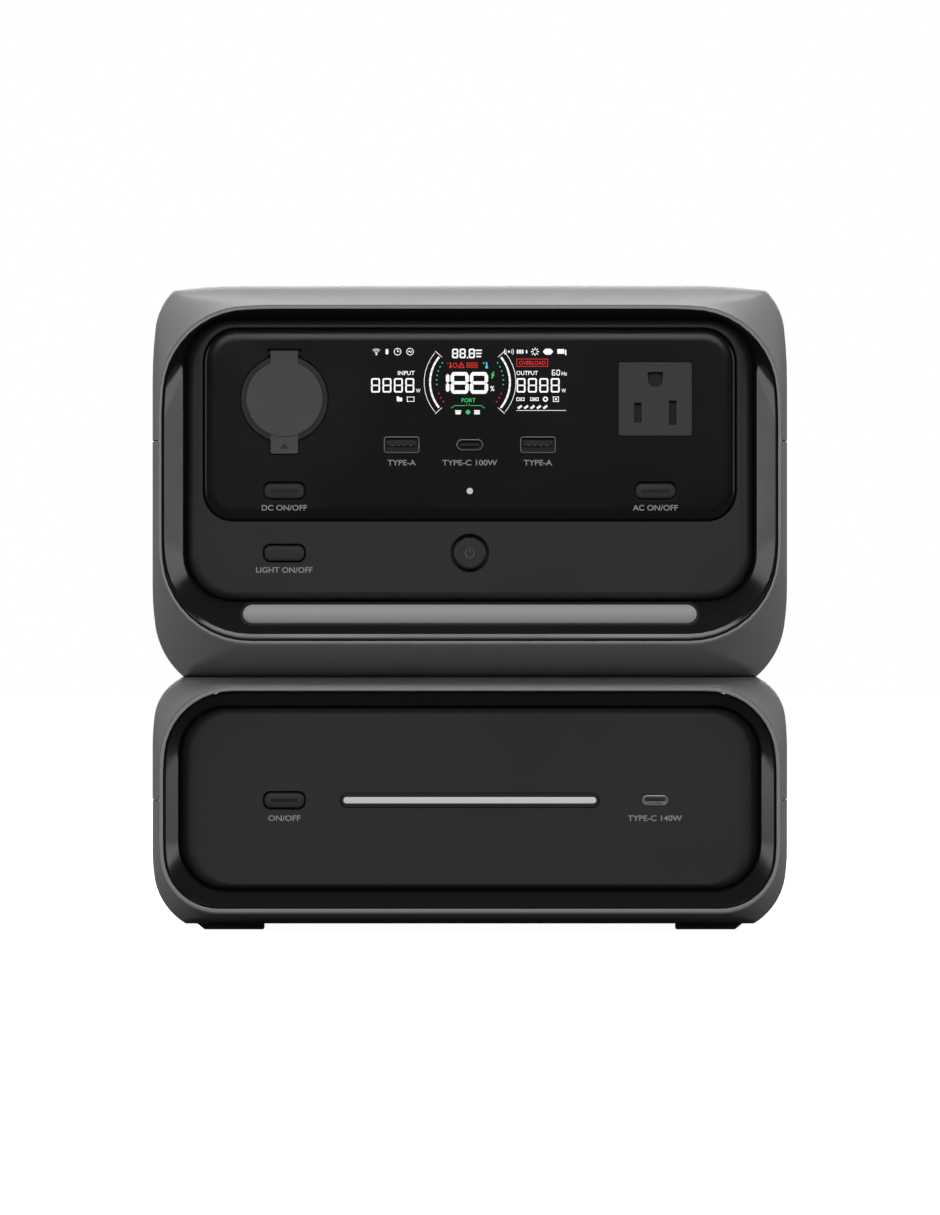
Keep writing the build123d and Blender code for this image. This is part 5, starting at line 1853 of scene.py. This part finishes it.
        self.mark("white", -26.5, -6.0, 0.9, 0.4)
        self.frame(-21.8, -6.8, 2.7, 1.8)
        self.frame(18.65, -6.8, 2.9, 1.2)
        self.frame(23.8, -6.8, 3.0, 1.2)
        self.mark("white", 23.8, -6.8, 1.6, 0.4)
        self.mark("white", 18.65, -6.8, 1.2, 0.3)
        self.band("white", 27.85, -6.8, 0.45, 0.95, 0, 360)
        self.frame(31.7, -6.8, 2.1, 1.9)
        self.dot("white", 31.7, -6.8, 0.4)

    def frame(self, x: float, z: float, width: float, height: float) -> None:
        """Put down a small open rectangle."""
        for way in (-1, 1):
            self.mark("white", x, z + way * (height / 2 - 0.1), width, 0.22)
            self.mark("white", x + way * (width / 2 - 0.1), z, 0.22, height)

    def build(self) -> None:
        """Print the whole display."""
        self.gauge()
        self.centre()
        self.side_numbers()
        self.symbols()
        inks = {"white": PRINT_WHITE, "red": PRINT_RED, "green": PRINT_GREEN, "cyan": PRINT_CYAN}
        for ink, bench in self.sheets.items():
            bench.piece("display_print_" + ink, inks[ink], "station")


# ---------------------------------------------------------------- the rest of the frame
NODE_FINISHES = {
    BUTTON_BLACK: ("lock_tab",),
    OUTLET_GREY: ("ac_outlets_rear",),
    SOCKET_BLACK: ("dc_cover_hinge_pin", "dc_socket_barrel", "dock_plug", "dock_socket", "rear_inlets"),
    NICKEL: ("battery_busbars", "station_busbars"),
    HOLDER_GREY: ("battery_cell_holder", "station_cell_holder"),
    CELL_BLUE: ("battery_cells", "station_cells"),
    FOOT_GREY: ("battery_feet",),
    BOARD_GREEN: ("battery_management_board", "station_boards"),
    PANEL_BLACK: ("battery_rear_panel", "rear_lining", "rear_panel"),
    ZINC: ("battery_screws", "station_screws", "lock_plate", "lock_studs"),
    LAMP_WHITE: ("status_lamp",),
    TONGUE_BLACK: ("battery_usb_c_tongue", "usb_tongues"),
    BREAKER_GREY: ("breaker_button",),
    BRASS: ("dock_blades", "rear_inlet_pins", "socket_contacts"),
    FAN_BLACK: ("fan_frames", "fan_rotor_left", "fan_rotor_right", "side_vents"),
    PAD_RUBBER: ("handle_grip_pad", "station_feet"),
    ALUMINIUM: ("heat_sink",),
    COIL_BROWN: ("inverter_power_parts",),
    SCREEN_AND_SHADE_BLACK: ("lcd_module",),
}


def dress_frame(nodes: dict[str, bpy.types.Object]) -> None:
    """Give the frame's own nodes their finishes."""
    for finish, names in NODE_FINISHES.items():
        for name in names:
            finish.dress(nodes[name])


# ---------------------------------------------------------------- studio
@dataclass
class Studio:
    """A pale floor, soft lights and the camera in front."""

    middle: float = 0.1191
    view_height: float = 0.447
    distance: float = 4.5

    def camera(self) -> None:
        """Stand the camera straight in front, level with the middle of the case."""
        data = bpy.data.cameras.new("camera")
        data.sensor_width = 36.0
        data.lens = data.sensor_width * self.distance / self.view_height
        data.clip_end = 50.0
        camera = bpy.data.objects.new("camera", data)
        camera.location = (0.00007, FRONT * MM - self.distance, self.middle)
        camera.rotation_euler = (pi / 2, 0, 0)
        bpy.context.scene.collection.objects.link(camera)
        bpy.context.scene.camera = camera

    def softbox(
        self, name: str, place: tuple[float, float, float], aim: tuple[float, float, float],
        size: tuple[float, float], power: float,
    ) -> bpy.types.Object:
        """Hang a rectangular softbox.

        Args:
            name: the light's name.
            place: where its middle is, in metres.
            aim: the point it faces.
            size: its width and height.
            power: its output in watts.

        Returns:
            The light.
        """
        data = bpy.data.lights.new(name, "AREA")
        data.shape = "RECTANGLE"
        data.size, data.size_y = size
        data.energy = power
        light = bpy.data.objects.new(name, data)
        light.location = place
        light.rotation_euler = (Vector(aim) - Vector(place)).to_track_quat("-Z", "Y").to_euler()
        bpy.context.scene.collection.objects.link(light)
        return light

    def lights(self) -> None:
        """Hang the lights: a broad one overhead, weak ones at the front and the sides."""
        aim = (0.0, 0.0, 0.12)
        self.softbox("overhead", (0.0, 0.1, 1.5), (0.0, 0.1, 0.2), (1.7, 1.0), 30.0)
        self.softbox("front", (0.0, -3.0, 1.05), aim, (1.6, 0.8), 12.5)
        self.softbox("left", (-1.7, -0.55, 0.3), aim, (1.1, 1.3), 14.5)
        self.softbox("right", (1.7, -0.55, 0.3), aim, (1.1, 1.3), 14.5)
        self.softbox("behind", (0.0, 2.8, 1.0), aim, (1.8, 1.2), 30.0)

    def floor(self) -> None:
        """Lay the pale floor."""
        bm = bmesh.new()
        bmesh.ops.create_grid(bm, x_segments=8, y_segments=8, size=12.0)
        mesh = bpy.data.meshes.new("floor")
        bm.to_mesh(mesh)
        bm.free()
        floor = bpy.data.objects.new("floor", mesh)
        bpy.context.scene.collection.objects.link(floor)
        paint = bpy.data.materials.new("pale floor")
        paint.use_nodes = True
        tree = paint.node_tree
        shader = tree.nodes["Principled BSDF"]
        shader.inputs["Roughness"].default_value = 0.9
        shader.inputs["Specular IOR Level"].default_value = 0.1
        seen = tree.nodes.new("ShaderNodeLightPath").outputs["Is Camera Ray"]
        shader.inputs["Emission Color"].default_value = (1, 1, 1, 1)
        strength = place_node(tree, "ShaderNodeMath", {0: seen, 1: 0.97}, operation="MULTIPLY")
        paints = {0: seen, 6: (0.11, 0.11, 0.11, 1), 7: (0.5, 0.5, 0.5, 1)}
        tone = place_node(tree, "ShaderNodeMix", paints, data_type="RGBA")
        tree.links.new(tone.outputs[2], shader.inputs["Base Color"])
        tree.links.new(strength.outputs[0], shader.inputs["Emission Strength"])
        mesh.materials.append(paint)

    def surroundings(self) -> None:
        """White behind everything, and a dim grey room for reflections."""
        world = bpy.data.worlds.new("studio")
        world.use_nodes = True
        tree = world.node_tree
        tree.nodes.clear()
        seen = tree.nodes.new("ShaderNodeLightPath").outputs["Is Camera Ray"]
        room = place_node(tree, "ShaderNodeBackground", {"Color": (1, 1, 1, 1), "Strength": 0.11})
        white = place_node(tree, "ShaderNodeBackground", {"Color": (1, 1, 1, 1), "Strength": 1.0})
        mix = place_node(tree, "ShaderNodeMixShader", {0: seen, 1: room.outputs[0], 2: white.outputs[0]})
        out = tree.nodes.new("ShaderNodeOutputWorld")
        tree.links.new(mix.outputs[0], out.inputs["Surface"])
        bpy.context.scene.world = world

    def build(self) -> None:
        """Set the studio up."""
        self.camera()
        self.lights()
        self.floor()
        self.surroundings()
        bpy.context.scene.view_settings.view_transform = "Standard"


def main() -> None:
    """Build the power station's looks on the frame."""
    logging.basicConfig(level=logging.INFO, format="%(message)s")
    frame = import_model()
    Studio().build()
    dress_frame(frame["nodes"])
    for part in (Case(), Fronts(), Backs(), Controls(), Labels(), DisplayPrint()):
        part.build()


if __name__ == "__main__":
    main()
